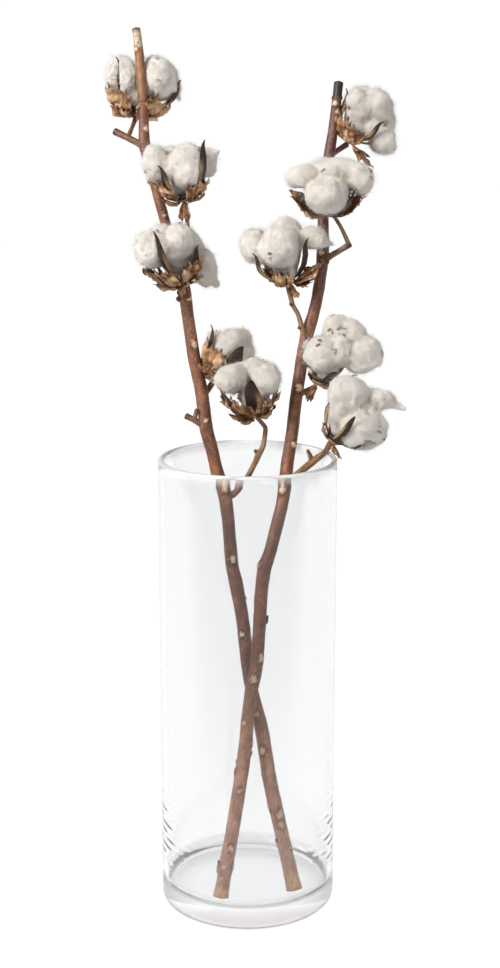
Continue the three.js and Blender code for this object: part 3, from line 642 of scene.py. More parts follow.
def lint_material():
    look = Material("lint")
    cloud = look.noise(look.place(), 14, 4, 0.5, 0.4)
    fibres = look.noise(look.place((1, 1.6, 0.55)), 1.6, 9, 0.75, 3.0)
    base = look.tint(cloud, (0.3, 233, 226, 216), (0.7, 243, 237, 229))
    shade = look.ramp(fibres, (0.3, (0.95, 0.945, 0.935)), (0.6, grey(1)))
    base = look.mix(0.6, base, shade, "MULTIPLY")
    # Painted shade in the hollows of the lint, and the stain of the leaf crumbs.
    base = look.layers(base, hollow=srgb(196, 182, 160), stain=srgb(112, 84, 58))
    return look.finish(
        base, look.bump(fibres, 1.0, 1.3), 1.0,
        Subsurface_Weight=0.35, Subsurface_Scale=0.004, Subsurface_Radius=(1, 0.95, 0.9),
        Sheen_Weight=0.3, Sheen_Roughness=0.8, Specular_IOR_Level=0.05,
    )


def burr_material():
    look = Material("burr")
    grain = look.noise(look.place(), 1.2, 7, 0.7, 0.6)
    outer = look.tint(grain, (0.3, 26, 17, 14), (0.55, 54, 35, 27), (0.75, 88, 62, 46))
    inner = look.tint(grain, (0.3, 112, 86, 56), (0.55, 164, 136, 96), (0.75, 204, 180, 140))
    base = look.layers(outer, inner=inner, edge=srgb(26, 19, 17))
    gloss = look.math("MULTIPLY_ADD", grain, 0.3, 0.45)
    return look.finish(base, look.bump(grain, 0.6, 0.8), gloss, Specular_IOR_Level=0.4)


def bract_material():
    look = Material("bracts")
    veins = look.node(
        "ShaderNodeTexWave", wave_type="BANDS", bands_direction="X", Scale=0.42, Distortion=3.5, Detail=3.0
    )
    veins.inputs["Detail Scale"].default_value = 0.6
    look.link(look.place((1, 1, 1), "leaf"), veins.inputs["Vector"])
    vein = veins.outputs["Fac"]
    here = look.place()
    paper = look.noise(here, 5, 6, 0.65, 0.8)
    light = look.tint(
        paper, (0.28, 146, 106, 72), (0.45, 194, 152, 112), (0.6, 220, 184, 146), (0.76, 242, 218, 188)
    )
    brown = look.tint(paper, (0.28, 84, 52, 34), (0.5, 140, 94, 60), (0.72, 188, 142, 100))
    base = look.layers(light, tone=brown)
    streak = look.ramp(vein, (0.1, (0.66, 0.62, 0.58)), (0.7, (1.06, 1.05, 1.04)))
    base = look.mix(0.6, base, streak, "MULTIPLY")
    # Painted highlight on the bracts' crumple ridges and painted shade in their folds.
    for crease, colour in (("ridge", srgb(240, 212, 178)), ("fold", srgb(64, 38, 26))):
        base = look.mix(look.math("MULTIPLY", look.value(crease), 0.75), base, colour)
    base = look.layers(base, edge=srgb(78, 52, 36))
    normal = look.bump(look.noise(here, 1.6, 6, 0.7), 0.5, 0.6, look.bump(vein, 0.4, 0.5))
    return look.finish(
        base, normal, 0.7, Specular_IOR_Level=0.35, Subsurface_Weight=0.1, Subsurface_Scale=0.002
    )


def glass_material():
    look = Material("glass")
    smear = look.noise(look.place((1, 1, 0.35)), 60, 3, 0.5, 0.5)
    base = look.ramp(smear, (0.3, (0.925, 0.935, 0.942)), (0.7, (0.94, 0.946, 0.95)))
    base = look.layers(base, foot=FOOT_TINT)
    clear = look.math("MULTIPLY_ADD", look.value("rim"), -RIM_MILK, CLEAR)
    look.link(clear, look.shader.inputs["Transmission Weight"])
    dull = look.math("MULTIPLY", look.noise(look.place(), 7, 6, 0.7), 0.012)
    return look.finish(base, look.bump(smear, 1.0, 0.06), dull, IOR=1.47)


GLASS, BARK, LINT, BURR, BRACT = (
    glass_material(), bark_material(), lint_material(), burr_material(), bract_material(),
)


# ---- vase ----


def arc(x, y, radius, start, end, steps=12):
    angle = np.radians(np.linspace(start, end, steps + 1))
    return np.stack([x + radius * np.cos(angle), y + radius * np.sin(angle)], 1)


def build_vase():
    inner = VASE_RADIUS - VASE_WALL
    bend = VASE_FLOOR + VASE_INNER_ROUND
    straight_top = VASE_HEIGHT - BELOW_RIM
    inside = [
        *np.linspace(straight_top, RIPPLE_TOP + 3, 26),
        *np.arange(RIPPLE_TOP + 2, bend + RIPPLE_RING / 2, -RIPPLE_RING),
    ]
    profile = np.vstack([
        [[radius, 0] for radius in FLAT_RINGS],
        arc(VASE_RADIUS - VASE_FOOT_ROUND, VASE_FOOT_ROUND, VASE_FOOT_ROUND, -90, 0),
        [[VASE_RADIUS, z] for z in np.linspace(VASE_FLOOR, straight_top, 38)],
        arc(VASE_RADIUS - VASE_RIM, VASE_HEIGHT - VASE_RIM, VASE_RIM, 0, 180, 14),
        [[inner, z] for z in inside],
        arc(inner - VASE_INNER_ROUND, bend, VASE_INNER_ROUND, 0, -90),
        [[radius, VASE_FLOOR] for radius in reversed(FLAT_RINGS)],
    ])
    rings = profile[1:-1]
    points = lathe(rings, VASE_SIDES)
    # Faint chill ripples low on the inside of the wall, where the glass met its mould.
    x, y, z = points.T
    wall = (np.abs(np.hypot(x, y) - inner) < 0.01) * smoothstep(RIPPLE_TOP, RIPPLE_FULL, z)
    wall = wall * smoothstep(bend + 6, bend + 30, z)
    turn = np.arctan2(y, x)
    wall = wall * smoothstep(0.6, 0.95, np.abs(np.cos(turn)))
    wave = np.sin(z * 0.95 + 9 * np.cos(turn)) + 0.7 * np.sin(z * 0.6 - 14 * np.sin(turn) + 1.3)
    points[:, :2] *= (1 - RIPPLE * wall * wave / inner)[:, None]
    points = np.vstack([points, [[0, 0, 0], [0, 0, VASE_FLOOR]]])
    height = points[:, 2]
    side = np.hypot(points[:, 0], points[:, 1])
    bent = smoothstep(bend + 4, bend, height) * (side > inner - VASE_INNER_ROUND) * (side < inner + 0.1)
    rim = np.maximum(smoothstep(VASE_HEIGHT - 4.5, VASE_HEIGHT - 1.5, height), BEND_MILK * bent)
    foot = smoothstep(VASE_FLOOR - 2, VASE_FLOOR - 6, height)
    foot = foot * smoothstep(VASE_RADIUS - 12, VASE_RADIUS - 6, side)
    shape = Shape()
    shape.add(points, capped_faces(len(rings), VASE_SIDES), rim=rim, foot=foot)
    piece("vase_clear", shape, GLASS, "vase")


# ---- stems ----


def smooth_path(nodes, step):
    """Points, radii and lengths at even steps along the curve through the nodes."""
    nodes = np.array(nodes, float)
    p = nodes[:, :3]
    padded = np.vstack([2 * p[0] - p[1], p, 2 * p[-1] - p[-2]])
    dense, radii = [], []
    for i in range(len(p) - 1):
        t = np.linspace(0, 1, CURVE_STEPS, endpoint=i == len(p) - 2)[:, None]
        start, end = p[i], p[i + 1]
        leave = CURVE_TENSION * (padded[i + 2] - padded[i])
        arrive = CURVE_TENSION * (padded[i + 3] - padded[i + 1])
        square = 3 * (end - start) - 2 * leave - arrive
        cube = 2 * (start - end) + leave + arrive
        dense.append(start + t * leave + t**2 * square + t**3 * cube)
        radii.append(nodes[i, 3] + t[:, 0] * (nodes[i + 1, 3] - nodes[i, 3]))
    dense, radii = np.vstack(dense), np.concatenate(radii)
    run = np.concatenate([[0], np.cumsum(np.linalg.norm(np.diff(dense, axis=0), axis=1))])
    even = np.linspace(0, run[-1], max(4, int(run[-1] / step)) + 1)
    points = np.stack([np.interp(even, run, dense[:, k]) for k in range(3)], 1)
    return points, np.interp(even, run, radii), even


def sides_along(points):
    """Two directions square to the path at each point, which turn as little as they can."""
    tangents = unit(np.gradient(points, axis=0))
    side = unit(np.cross(tangents[0], [0.0, 1.0, 0.2]))
    sides = []
    for t in tangents:
        side = unit(side - t * (side @ t))
        sides.append(side)
    sides = np.array(sides)
    return sides, np.cross(tangents, sides)


def at_height(points, height):
    return int(np.argmin(np.abs(points[:, 2] - height)))


def scarred(where, ring, knots, seed):
    """The bark with a ragged swelling at each knot, and how much of a scar and of its dark rind shows."""
    scar, rind = np.zeros(where.shape[:2]), np.zeros(where.shape[:2])
    for k, (place, size) in enumerate(knots):
        gap = (where - place) / size
        far = np.linalg.norm(gap * [1, 1, 0.8], axis=2)
        swell = np.exp(-((far / 0.75) ** 2)) * (1 - 0.45 * np.exp(-((far / 0.28) ** 2)))
        where = where + ring * (0.42 * size * swell)[..., None]
        ragged = far + 0.42 * rough(where.reshape(-1, 3), 2.2, seed, 3).reshape(far.shape)
        strength = 0.6 + 0.4 * chance(seed * 3.1 + k)
        scar = np.maximum(scar, strength * smoothstep(0.8, 0.5, ragged))
        rind = np.maximum(rind, 0.75 * smoothstep(1.25, 0.95, ragged) * smoothstep(0.6, 0.85, ragged))
    return where, scar, rind


def limb(shape, nodes, mesh, seed, twig, knots, ends, tone, dark):
    """One stem or twig: a bark tube with ridges, scars at its knots, and rounded or cut ends."""
    sides, step = mesh
    points, radii, run = smooth_path(nodes, step)
    right, up = sides_along(points)
    around = turn_in(sides)
    ring = np.cos(around)[None, :, None] * right[:, None] + np.sin(around)[None, :, None] * up[:, None]
    straight = np.stack([
        radii[:, None] * np.cos(around),
        radii[:, None] * np.sin(around),
        np.repeat(run[:, None], sides, 1),
    ], 2)
    flat = straight.reshape(-1, 3) + 31.7 * seed
    ridges = lattice(flat * [0.55, 0.55, 0.03], seed) + 0.6 * lattice(flat * [1.3, 1.3, 0.09], seed + 1)
    lumps = rough(flat, 7, seed + 2, 3)
    wide = rough(flat * [1, 1, 0.5], 22, seed + 5, 2)
    girth = 1 + (0.03 * ridges + 0.035 * lumps + 0.06 * wide).reshape(len(points), sides)
    where = points[:, None] + ring * (radii[:, None] * girth)[..., None]
    where, scar, rind = scarred(where, ring, knots, seed)
    for end, span in ends:
        reach = (run if end == 0 else run[-1] - run) / span
        round_off = np.sqrt(np.maximum(0, 1 - (1 - np.clip(reach, 0, 1)) ** 2))
        shrink = np.maximum(np.where(reach < 1, round_off, 1), 0.12)
        where = points[:, None] + (where - points[:, None]) * shrink[:, None, None]
    bark = np.vstack([straight.reshape(-1, 3), [0, 0, run[0]], [0, 0, run[-1]]]) + 13.1 * seed
    where = np.vstack([where.reshape(-1, 3), points[0], points[-1]])
    height = where[:, 2]
    jagged = rough(where, 6, seed + 9, 3)
    to_end = np.append(np.repeat(run[-1] - run, sides), [run[-1], 0])

    def band(name, ragged=0):
        return smoothstep(*BARK_BANDS[name], height + ragged * jagged)

    shape.add(
        where, capped_faces(len(points), sides),
        bark=bark,
        scar=np.append(scar, [0, 0]),
        rind=np.append(rind, [0, 0]),
        twig=twig * smoothstep(-0.5, 0.5, jagged + 0.9) * band("twig"),
        # Painted haze of light from the glass, paler towards the bottom of the vase.
        low=0.9 * band("low"),
        wood=smoothstep(9, 0, height - 33 - 12 * jagged) * smoothstep(-0.8, 0.2, jagged),
        dark=dark * smoothstep(6.5, 1.5, to_end - 2.5 * jagged),
        tan=tone[0] * band("tan"),
        cut=tone[0] * band("cut", 4) * band("end"),
        cap=(1 - tone[0]) * band("cap", 3),
        deep=tone[1] * band("deep"),
    )


def bud(points, radii, height, azimuth, length, thick):
    """The path of a small dark bud or broken stub on the stem's side."""
    path = []
    for share, sunk, size in ((0, 1.4, 0.8), (0.3, 0.2, 1.0), (0.7, -0.1, 0.9), (1, -0.7, 0.35)):
        i = at_height(points, height + share * length)
        path.append([*(points[i] + compass(azimuth) * (radii[i] - sunk * thick)), size * thick])
    return path


def build_stem(name, stem):
    shape = Shape()
    points, radii, _ = smooth_path(stem["path"], 2)
    knots = []
    for height, azimuth, size in stem["knots"] + stem["marks"]:
        i = at_height(points, height)
        knots.append((points[i] + radii[i] * compass(azimuth), size))
    seed, tone = stem["seed"], stem["tone"]
    limb(shape, stem["path"], STEM_MESH, seed, 0.0, knots, [(0, 0.8), (1, 1.6)], tone, stem["top"])
    for i, (path, twig) in enumerate(zip(stem["twigs"], stem["twig_tones"])):
        dark = STUB_DARK if i in stem["stubs"] else 0
        limb(shape, path, TWIG_MESH, seed + 20 + i, twig, [], [(1, 1.2)], tone, dark)
    for i, sizes in enumerate(stem["buds"]):
        path = bud(points, radii, *sizes)
        limb(shape, path, BUD_MESH, seed + 50 + i, 0.0, [], [(1, 0.8)], tone, 1.0)
    piece(name + "_bark", shape, BARK, name)


# ---- bolls ----


def to_world(boll, local):
    """Points of the boll's own frame, whose z is the way the boll faces, moved to the base."""
    turn = Vector((0, 0, 1)).rotation_difference(Vector(boll["axis"]).normalized()).to_matrix()
    return local @ np.array(turn, float).T + boll["base"]


def skin(shape, mid, thickness, **values):
    """A thin closed leaf round a grid of middle points; a value is a pair, for its two faces."""
    rows, columns, _ = mid.shape
    normal = unit(np.cross(np.gradient(mid, axis=0), np.gradient(mid, axis=1)))
    offset = normal * thickness[..., None] / 2
    count = rows * columns
    top = grid_faces(rows, columns)
    faces = [f[::-1] for f in top] + [tuple(i + count for i in f) for f in top]
    grid = np.arange(count).reshape(rows, columns)
    rim = [*grid[0], *grid[1:, -1], *grid[-1, -2::-1], *grid[-2:0:-1, 0]]
    for a, b in zip(rim, rim[1:] + rim[:1]):
        faces.append((a, b, b + count, a + count))
    both = {key: np.stack(pair).reshape(2 * count, *pair[0].shape[2:]) for key, pair in values.items()}
    shape.add(np.stack([mid + offset, mid - offset]).reshape(-1, 3), faces, **both)


def leaf_grid(rows, columns):
    """The share of the way along, from 0 to 1, and across, from -1 to 1, at each point of a grid."""
    return np.meshgrid(np.linspace(0, 1, rows), np.linspace(-1, 1, columns), indexing="ij")


def valve_points(valve, seed, u, v):
    """A boat-shaped valve that curls out and up from the dish, in the boll's own frame."""
    azimuth, reach, height = valve[:3]
    half_width = valve[3] if len(valve) > 3 else VALVE_HALF_WIDTH
    rise = height / (1 - math.cos(math.radians(VALVE_END)))
    radial = compass(azimuth)
    sideways = np.array([-radial[1], radial[0], 0])
    angle = np.radians(VALVE_START + (VALVE_END - VALVE_START) * u)
    middle = np.sin(np.pi * u)
    width = half_width * np.sin(np.pi * (0.13 + 0.87 * u**1.35)) ** 0.9 + 0.25
    camber = 0.7 * VALVE_CAMBER * v * v * middle
    flare = VALVE_TIP_FLARE * np.maximum(0, (u - 0.75) / 0.25) ** 1.6
    hook = VALVE_HOOK * np.maximum(0, (u - 0.86) / 0.14) ** 2
    out = (reach - camber) * np.sin(angle) + flare + hook
    lift = BURR_LEVEL + rise * (1 - np.cos(angle)) + camber * np.cos(angle) - 0.5 * hook
    twist = 0.9 * (chance(seed) - 0.5) * u
    mid = (
        radial * (out + v * width * np.sin(twist))[..., None]
        + sideways * (v * width * np.cos(twist))[..., None]
        + np.array([0, 0, 1.0]) * lift[..., None]
    )
    warp = rough(mid.reshape(-1, 3) + seed, 9, seed, 3).reshape(u.shape)
    places = np.stack([u.ravel() * 2.2, np.full(u.size, float(seed)), np.zeros(u.size)], 1)
    lean = rough(places, 1, seed, 1).reshape(u.shape)
    return mid + radial * (0.8 * warp * middle)[..., None] + sideways * (2.0 * lean * middle)[..., None]


def build_burr(name, boll):
    shape = Shape()
    u, v = leaf_grid(*VALVE_GRID)
    thickness = VALVE_THICKNESS * np.sqrt(np.maximum(0.06, 1 - v**2)) * (1 - 0.45 * u) + 0.15
    edge = np.clip(smoothstep(0.86, 1.0, np.abs(v)) * 0.6 + smoothstep(0.88, 1, u) * 0.6, 0, 1)
    for i, valve in enumerate(boll["valves"]):
        mid = to_world(boll, valve_points(valve, boll["seed"] + 3 * i, u, v))
        hand = 1 if chance(boll["seed"] + 31 * i) > 0.5 else -1
        pale = smoothstep(0.25, 0.5, hand * v) * smoothstep(0.75, 0.5, u)
        skin(shape, mid, thickness, inner=(np.ones(u.shape), pale), edge=(edge, edge * 0.8))
    dish = to_world(boll, lathe(np.array(BURR_PROFILE) + [0, BURR_LEVEL], BURR_SIDES))
    tint = np.full(len(dish), 0.3)
    shape.add(dish, grid_faces(len(BURR_PROFILE), BURR_SIDES, True), inner=tint, edge=tint)
    piece(f"boll_{name}_valves", shape, BURR, f"boll_{name}_burr")
    return shape


def bract_points(bract, seed):
    """A toothed, crumpled bract in the boll's own frame, with its grid, share of length and creases."""
    azimuth, spread, length, first, last = bract
    teeth = max(2, round(spread / TOOTH_SPREAD))
    u, v = leaf_grid(BRACT_ROWS, teeth * TOOTH_COLUMNS + 1)
    count = v * teeth / 2 + teeth / 2
    tooth = np.floor(np.clip(count, 0, teeth - 1e-6))
    inside = 1 - np.abs(2 * (count - tooth) - 1)
    uneven = np.vectorize(lambda k: chance(seed * 1.7 + 11 * k))(tooth)
    reach = 1 - 0.2 * v * v - 0.2 * uneven
    notch = 0.72 - 0.1 * v * v
    share = u * (notch + (reach - notch) * inside**1.25)
    out, up = np.full(u.shape, BRACT_ROOT), np.full(u.shape, 1.0)
    for k in range(BRACT_STEPS):
        slope = np.radians(last + (first - last) * (1 - share * (k + 0.5) / BRACT_STEPS) ** 2)
        out = out + np.cos(slope) * length * share / BRACT_STEPS
        up = up + np.sin(slope) * length * share / BRACT_STEPS
    fan = spread * (0.6 + 0.4 * np.minimum(1, 2 * u))
    turn = np.radians(azimuth + v * fan + 8 * (uneven - 0.5) * share)
    flat = np.stack([v * spread * 0.35, share * length, np.full(u.shape, seed * 7.7)], 2).reshape(-1, 3)
    crease = np.abs(lattice(flat / 8.5, seed)) + 0.6 * np.abs(lattice(flat / 4.0, seed + 1)) - 0.5
    crease = crease.reshape(u.shape)
    ruffle = (CRUMPLE * crease + PLEAT * np.sin(v * teeth * math.pi)) * share
    slope = np.radians(last + (first - last) * (1 - share) ** 2)
    out = out + ruffle * np.sin(slope)
    up = up - ruffle * np.cos(slope)
    return np.stack([out * np.cos(turn), out * np.sin(turn), up], 2), u, v, share, crease


def bract_layers(boll):
    """Each bract, and the torn, crumpled layers that stand inside and outside it."""
    sag = boll.get("sag", 1.0)
    for i, (azimuth, spread, length, first, last) in enumerate(boll["bracts"]):
        seed = boll["seed"] + 5 * i
        yield seed, (azimuth, spread, length, first, last)
        if length > LAYERED_LENGTH:
            aside = 18 * (chance(seed) - 0.5)
            yield seed + 90, (azimuth + aside, spread * 0.85, length * 0.72, first + 8, last + 8)
            hung = (first - 32 * sag, last - 24 * sag)
            yield seed + 170, (azimuth - aside, spread * 0.9, length * 0.62, *hung)


def build_bracts(name, boll):
    shape = Shape()
    for seed, bract in bract_layers(boll):
        mid, u, v, share, crease = bract_points(bract, seed)
        edge = smoothstep(0.94, 1.0, u) * (0.2 + 0.7 * chance(seed))
        # Painted shade in the folds and painted highlight on the ridges, the highlight half as strong on the
        # inner face.
        fold = smoothstep(0.0, -0.3, crease) * smoothstep(0, 0.2, share)
        ridge = smoothstep(0.1, 0.5, crease) * smoothstep(0.1, 0.4, share)
        leaf = np.stack([v * 12, share * 8, np.full(u.shape, float(seed))], 2)
        tone = np.full(u.shape, 0.9 * chance(seed * 3))
        skin(
            shape, to_world(boll, mid), 0.5 - 0.2 * u, leaf=(leaf, leaf + 40), edge=(edge, edge),
            fold=(fold, fold), ridge=(ridge, ridge * 0.5), tone=(tone, tone),
        )
    cup = lathe(CUP_PROFILE, CUP_SIDES)
    tint = np.full(len(cup), 0.3)
    faces = grid_faces(len(CUP_PROFILE), CUP_SIDES, True)
    # The cup gets a fixed share of the edge colour, the tone, the painted fold shade and the painted ridge
    # highlight.
    shape.add(to_world(boll, cup), faces, leaf=cup, edge=tint, fold=tint, ridge=tint, tone=tint)
    piece(f"boll_{name}_leaves", shape, BRACT, f"boll_{name}_bracts")
    return shape


# ---- lint ----


def ball(centre, radii, seed, detail):
    """A lobe of lint as a bumpy round mesh, before the lobes are fused."""
    data = bpy.data.meshes.new("lobe")
    work = bmesh.new()
    bmesh.ops.create_icosphere(work, subdivisions=detail, radius=1)
    work.to_mesh(data)
    work.free()
    points = np.array([v.co for v in data.vertices], float)
    faces = [tuple(p.vertices) for p in data.polygons]
    bpy.data.meshes.remove(data)
    bumps = 1 + 0.07 * rough(points + seed, 0.9, seed, 3)
    return points * bumps[:, None] * radii + centre, faces


def remeshed(shape, voxel):
    """The shape's parts fused into one skin by a voxel remesh: its points and faces."""
    data = shape.mesh("fuse")
    made = placed("fuse", data)
    fuse = made.modifiers.new("fuse", "REMESH")
    fuse.mode, fuse.voxel_size, fuse.use_smooth_shade = "VOXEL", voxel * MM, True
    result = made.evaluated_get(bpy.context.evaluated_depsgraph_get()).to_mesh()
    points = np.zeros(len(result.vertices) * 3, np.float32)
    result.vertices.foreach_get("co", points)
    faces = [tuple(p.vertices) for p in result.polygons]
    bpy.data.objects.remove(made)
    bpy.data.meshes.remove(data)
    return points.reshape(-1, 3).astype(float) / MM, faces


def normals_of(points, quads):
    """The normal at each point; a triangle is a quad whose last corner comes twice."""
    corner = [points[quads[:, k]] for k in range(4)]
    face_normal = np.cross(corner[2] - corner[0], corner[3] - corner[1])
    total = np.zeros_like(points)
    for k in range(4):
        np.add.at(total, quads[:, k], face_normal)
    return unit(total)


def relaxed(values, quads, rounds):
    """Values averaged over the mesh's neighbours, a few times over."""
    edges = np.vstack([quads[:, [k, (k + 1) % 4]] for k in range(4)])
    edges = edges[edges[:, 0] != edges[:, 1]]
    weight = sum(np.bincount(edges[:, k], minlength=len(values)) for k in (0, 1))
    for _ in range(rounds):
        total = np.zeros_like(values)
        np.add.at(total, edges[:, 0], values[edges[:, 1]])
        np.add.at(total, edges[:, 1], values[edges[:, 0]])
        mean = total / np.maximum(weight, 1).reshape(-1, *([1] * (values.ndim - 1)))
        values = 0.5 * values + 0.5 * mean
    return values


def tree_of(*shapes):
    whole = Shape()
    for shape in shapes:
        whole.add(np.vstack(shape.points), shape.faces)
    return BVHTree.FromPolygons(np.vstack(whole.points).tolist(), whole.faces)


def tuck(points, quads, middle, tree):
    """Moves lint that would cover a valve or bract to just behind it, seen from the boll's middle."""
    pull = np.zeros(len(points))
    rays = points - middle
    far = np.linalg.norm(rays, axis=1)
    start = Vector(middle)
    for i, (ray, distance) in enumerate(zip(rays, far)):
        hit, _, _, gap = tree.ray_cast(start, Vector(ray / distance), distance + LINT_TUCK)
        if hit is not None:
            excess = distance - gap + LINT_TUCK
            pull[i] = excess * (1 - smoothstep(TUCK_REACH, TUCK_REACH + 6, excess))
    pull = np.maximum(pull, relaxed(pull, quads, 3))
    return points - rays / far[:, None] * pull[:, None]


def clear_of_limbs(points, limbs):
    """Moves lint that would lie in a stem out to the stem's side."""
    for centre, radius in limbs:
        away = points - centre
        near = np.linalg.norm(away, axis=1)
        inside = near < radius + LIMB_GAP
        points[inside] = centre + away[inside] / near[inside, None] * (radius + LIMB_GAP)
    return points


def lobes_of(name, boll, draw):
    """Each lock as a lobe with four smaller ones in its sides, and each wisp as a row of beads."""
    base, seed = boll["base"], boll["seed"]
    lobes = Shape()
    for i, lock in enumerate(boll["locks"]):
        centre, radii = np.array(lock[:3], float) + base, np.array(lock[3:], float)
        lobes.add(*ball(centre, radii, seed + i, 4))
        for _ in range(4):
            way = unit(draw.normal(size=3))
            size = radii * draw.uniform(0.5, 0.7)
            lobes.add(*ball(centre + way * radii * draw.uniform(0.42, 0.55), size, seed + i, 3))
    for wisp in WISPS.get(name, []):
        start, tip = np.array(wisp[:3], float) + base, np.array(wisp[3:6], float) + base
        thick, thin = wisp[6:]
        for k in range(WISP_BEADS):
            t = k / (WISP_BEADS - 1)
            size = (thick + (thin - thick) * t) * np.array([1, 0.7, 1])
            lobes.add(*ball(start + (tip - start) * t, size, seed + 40 + k, 3))
    return lobes


def billowed(points, normal, seed):
    """Lint pushed in and out in soft billows with fine strands on them."""
    warped = points + 4 * lattice_vector(points / 8.0, seed + 20)
    billow = np.abs(lattice(warped / 13.0, seed)) * 1.5 + np.abs(lattice(warped / 6.0, seed + 3)) * 0.35
    strands = rough(warped * [1.5, 1.5, 0.5], 3.6, seed + 7, 3) * 0.42
    puff = billow - 0.7 + rough(points, 17, seed + 5, 2) * 1.6 + strands
    return points + normal * puff[:, None]


def build_lint(name, boll, hard_parts, limbs):
    base, seed = boll["base"], boll["seed"]
    draw = np.random.default_rng(seed)
    points, faces = remeshed(lobes_of(name, boll, draw), LINT_VOXEL)
    quads = np.array([f if len(f) == 4 else (*f, f[-1]) for f in faces])
    points = relaxed(points, quads, LINT_ROUNDS)
    drift = lattice_vector(points / 17.0, seed + 50) + 0.4 * lattice_vector(points / 8.0, seed + 50)
    points = points + LINT_DRIFT * drift * smoothstep(0, 22, points[:, 2] - base[2])[:, None]
    points = billowed(points, normals_of(points, quads), seed)
    middle = np.mean([lock[:3] for lock in boll["locks"]], axis=0) + base
    points = tuck(points, quads, middle, hard_parts)
    points = clear_of_limbs(points, limbs)
    normal = normals_of(points, quads)
    # How far each point lies below the smoothed skin, which darkens the lint in its hollows as painted shade.
    dip = np.sum((relaxed(points, quads, 24) - points) * normal, axis=1)
    shape = Shape()
    shape.add(points, faces, stain=0.0, hollow=smoothstep(0.1, 0.6, dip))
    add_fibres(shape, points, normal, draw)
    add_crumbs(shape, points, normal, draw, boll["crumbs"], base)
    piece(f"boll_{name}_cotton", shape, LINT, f"boll_{name}_lint")


def add_fibres(shape, points, normal, draw):
    """Loose fibres that stand out from the lint, as thin curling ribbons."""
    pick = draw.integers(0, len(points), FIBRES)
    start, out = points[pick] - normal[pick] * 0.4, normal[pick]
    lean = unit(np.cross(out, draw.normal(size=(FIBRES, 3))))
    curl = unit(np.cross(out, lean)) * draw.uniform(-0.7, 0.7, (FIBRES, 1))
    length = draw.uniform(*FIBRE_LENGTH, (FIBRES, 1))
    rise = draw.uniform(0.05, 0.8, (FIBRES, 1)) ** 1.1
    across = unit(np.cross(lean + 0.3 * out, out)) * FIBRE_WIDTH
    strips = []
    for k in range(3):
        t = k / 2
        row = start + (lean * t + curl * t * t + out * (rise * t * (1.25 - 0.55 * t))) * length
        half = across * (1 - 0.35 * k)
        strips += [row - half, row + half]
    faces = [tuple(6 * n + i for i in f) for n in range(FIBRES) for f in grid_faces(3, 2)]
    shape.add(np.stack(strips, 1).reshape(-1, 3), faces, stain=0.0, hollow=0.0)


def add_crumbs(shape, points, normal, draw, crumbs, base):
    """Flecks of dry leaf that are caught in the lint, most of them on the front of one patch."""
    count, x, z, spread = crumbs
    away = np.hypot(points[:, 0] - base[0] - x, points[:, 2] - base[2] - z)
    patch = np.nonzero((away < spread) & (normal[:, 1] < 0.1))[0]
    pick = np.concatenate([draw.choice(patch, count), draw.integers(0, len(points), 1)])
    faces = grid_faces(5, 4, True) + [(3, 2, 1, 0), (16, 17, 18, 19)]
    for at, out in zip(points[pick], normal[pick]):
        along = unit(np.cross(out, draw.normal(size=3)))
        length, width = draw.uniform(*CRUMB_LENGTH), draw.uniform(*CRUMB_WIDTH)
        side = np.cross(out, along)
        rows = []
        for t in (0, 0.25, 0.5, 0.75, 1):
            middle = at + along * (t - 0.5) * length + out * (0.35 + 0.5 * math.sin(math.pi * t))
            wide = width * (0.25 + math.sin(math.pi * (0.1 + 0.8 * t)))
            rows += [middle - side * wide, middle + out * 0.35, middle + side * wide, middle - out * 0.25]
        shape.add(np.array(rows), faces, stain=draw.uniform(0.7, 1.0), hollow=0.0)


# ---- building ----

build_vase()
limbs = []
for name, stem in STEMS.items():
    build_stem(name, stem)
    for path in [stem["path"], *stem["twigs"]]:
        points, radii, _ = smooth_path(path, 1.5)
        limbs += list(zip(points, radii))

for name, boll in BOLLS.items():
    boll["base"] = np.array(boll["base"], float)
    burr = build_burr(name, boll)
    bracts = build_bracts(name, boll)
    near = [(c, r) for c, r in limbs if np.linalg.norm(c - boll["base"] - BOLL_MIDDLE) < BOLL_REACH]
    build_lint(name, boll, tree_of(burr, bracts), near)

# ---- studio ----

FLOOR_LEVEL = -0.6
FLOOR_RINGS = [120, 300, 1000, 2500, 6000]
FLOOR_SIDES = 64
# The floor glows up to this distance from the axis on the camera's side, and fades within the next stretch.
FLOOR_FRONT = -170.0
FLOOR_FADE = 260.0
# Radiance of the room by how far sideways a ray points, and its share by how far it points back.
SIDE_LIGHT = [(0.35, grey(0.97)), (0.62, grey(0.8)), (0.8, grey(0.64)), (1.0, grey(0.56))]
DEPTH_LIGHT = [(0.0, grey(0.33)), (0.15, grey(1.0))]
BACKDROP = 1.02
# Lamps, in metres and watts: name, place, aim, width and height, power, colour.
LAMPS = [
    ("key", (-1.5, -1.1, 1.7), (0, 0.05, 0.42), (0.9, 0.9), 68, (1.0, 0.975, 0.95)),
    ("fill", (1.1, -1.8, 0.8), (0, 0.05, 0.4), (1.2, 1.6), 14, (1, 1, 1)),
]
# The camera: a sensor in millimetres, a focal length and shift in pixels of the picture, a place in metres
# and how far it looks down in degrees.
SENSOR = 36
PICTURE_HEIGHT = 968
FOCAL_LENGTH = 1815
PICTURE_SHIFT = 1.16
CAMERA_PLACE = (0.001, -1.5, 0.724)
CAMERA_DIP = 13.03


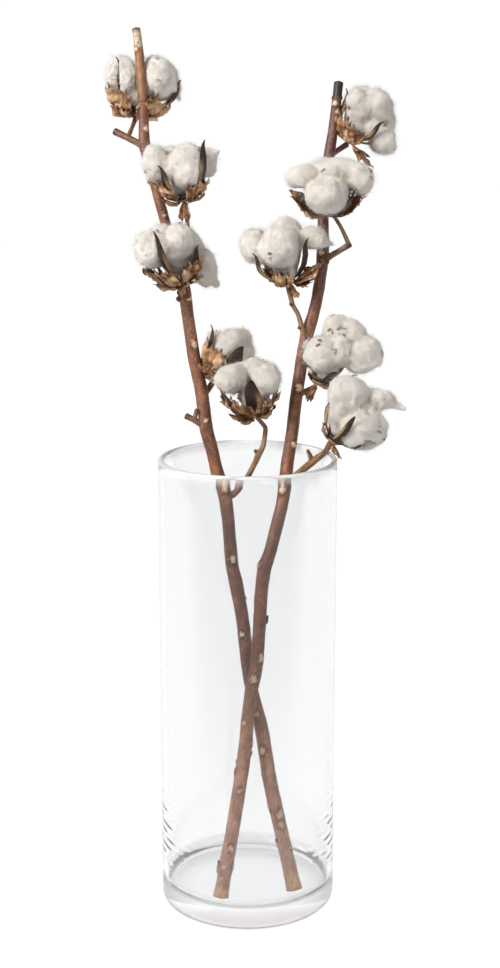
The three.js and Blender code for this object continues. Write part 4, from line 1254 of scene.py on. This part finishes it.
def build_floor():
    rings = lathe([[radius, FLOOR_LEVEL] for radius in FLOOR_RINGS], FLOOR_SIDES)
    quads = [f[::-1] for f in grid_faces(len(FLOOR_RINGS), FLOOR_SIDES, True)]
    shape = Shape()
    shape.add(rings, [range(FLOOR_SIDES), *quads])
    look = Material("floor")
    base = look.ramp(look.noise(look.place(), 40, 3, 0.5), (0.3, grey(0.1)), (0.7, grey(0.11)))
    look.finish(base, None, 0.9, Specular_IOR_Level=0.1, Emission_Strength=0.97)
    parts = look.node("ShaderNodeSeparateXYZ")
    look.link(look.place(), parts.inputs[0])
    back = look.math("MULTIPLY_ADD", parts.outputs["Y"], 1 / FLOOR_FADE, 1 - FLOOR_FRONT / FLOOR_FADE)
    glow = look.ramp(back, (0.0, grey(0.2)), (1.0, grey(1)))
    rays = look.node("ShaderNodeLightPath")
    look.link(look.mix(rays.outputs["Is Camera Ray"], glow, grey(1)), look.shader.inputs["Emission Color"])
    data = shape.mesh("floor")
    data.materials.append(look.material)
    placed("floor", data)


def build_room():
    world = bpy.data.worlds.new("studio")
    bpy.context.scene.world = world
    world.use_nodes = True
    sky = Nodes(world.node_tree)
    parts = sky.node("ShaderNodeSeparateXYZ")
    sky.link(sky.node("ShaderNodeTexCoord").outputs["Generated"], parts.inputs[0])
    side = sky.ramp(sky.math("ABSOLUTE", parts.outputs["X"]), *SIDE_LIGHT)
    depth = sky.ramp(parts.outputs["Y"], *DEPTH_LIGHT)
    room = sky.tree.nodes["Background"]
    sky.link(sky.mix(1, side, depth, "MULTIPLY"), room.inputs["Color"])
    seen = sky.node("ShaderNodeBackground", Color=(1, 1, 1, 1), Strength=BACKDROP)
    rays = sky.node("ShaderNodeLightPath")
    both = sky.node("ShaderNodeMixShader")
    sources = (rays.outputs["Is Camera Ray"], room.outputs[0], seen.outputs[0])
    for source, socket in zip(sources, both.inputs):
        sky.link(source, socket)
    sky.link(both.outputs[0], sky.tree.nodes["World Output"].inputs["Surface"])


def build_lamps():
    for name, place, aim, size, power, colour in LAMPS:
        light = bpy.data.lights.new(name, "AREA")
        light.shape, light.size, light.size_y = "RECTANGLE", *size
        light.energy, light.color = power, colour
        made = placed(name, light)
        made.location = place
        made.rotation_euler = (Vector(aim) - Vector(place)).to_track_quat("-Z", "Y").to_euler()


def build_camera():
    data = bpy.data.cameras.new("camera")
    data.sensor_width = SENSOR
    data.lens = SENSOR * FOCAL_LENGTH / PICTURE_HEIGHT
    data.shift_x = PICTURE_SHIFT / PICTURE_HEIGHT
    data.clip_start, data.clip_end = 0.05, 30
    camera = placed("camera", data)
    camera.location = CAMERA_PLACE
    camera.rotation_euler = (math.radians(90 - CAMERA_DIP), 0, 0)
    bpy.context.scene.camera = camera


build_floor()
build_room()
build_lamps()
build_camera()
bpy.context.scene.view_settings.view_transform = "Standard"
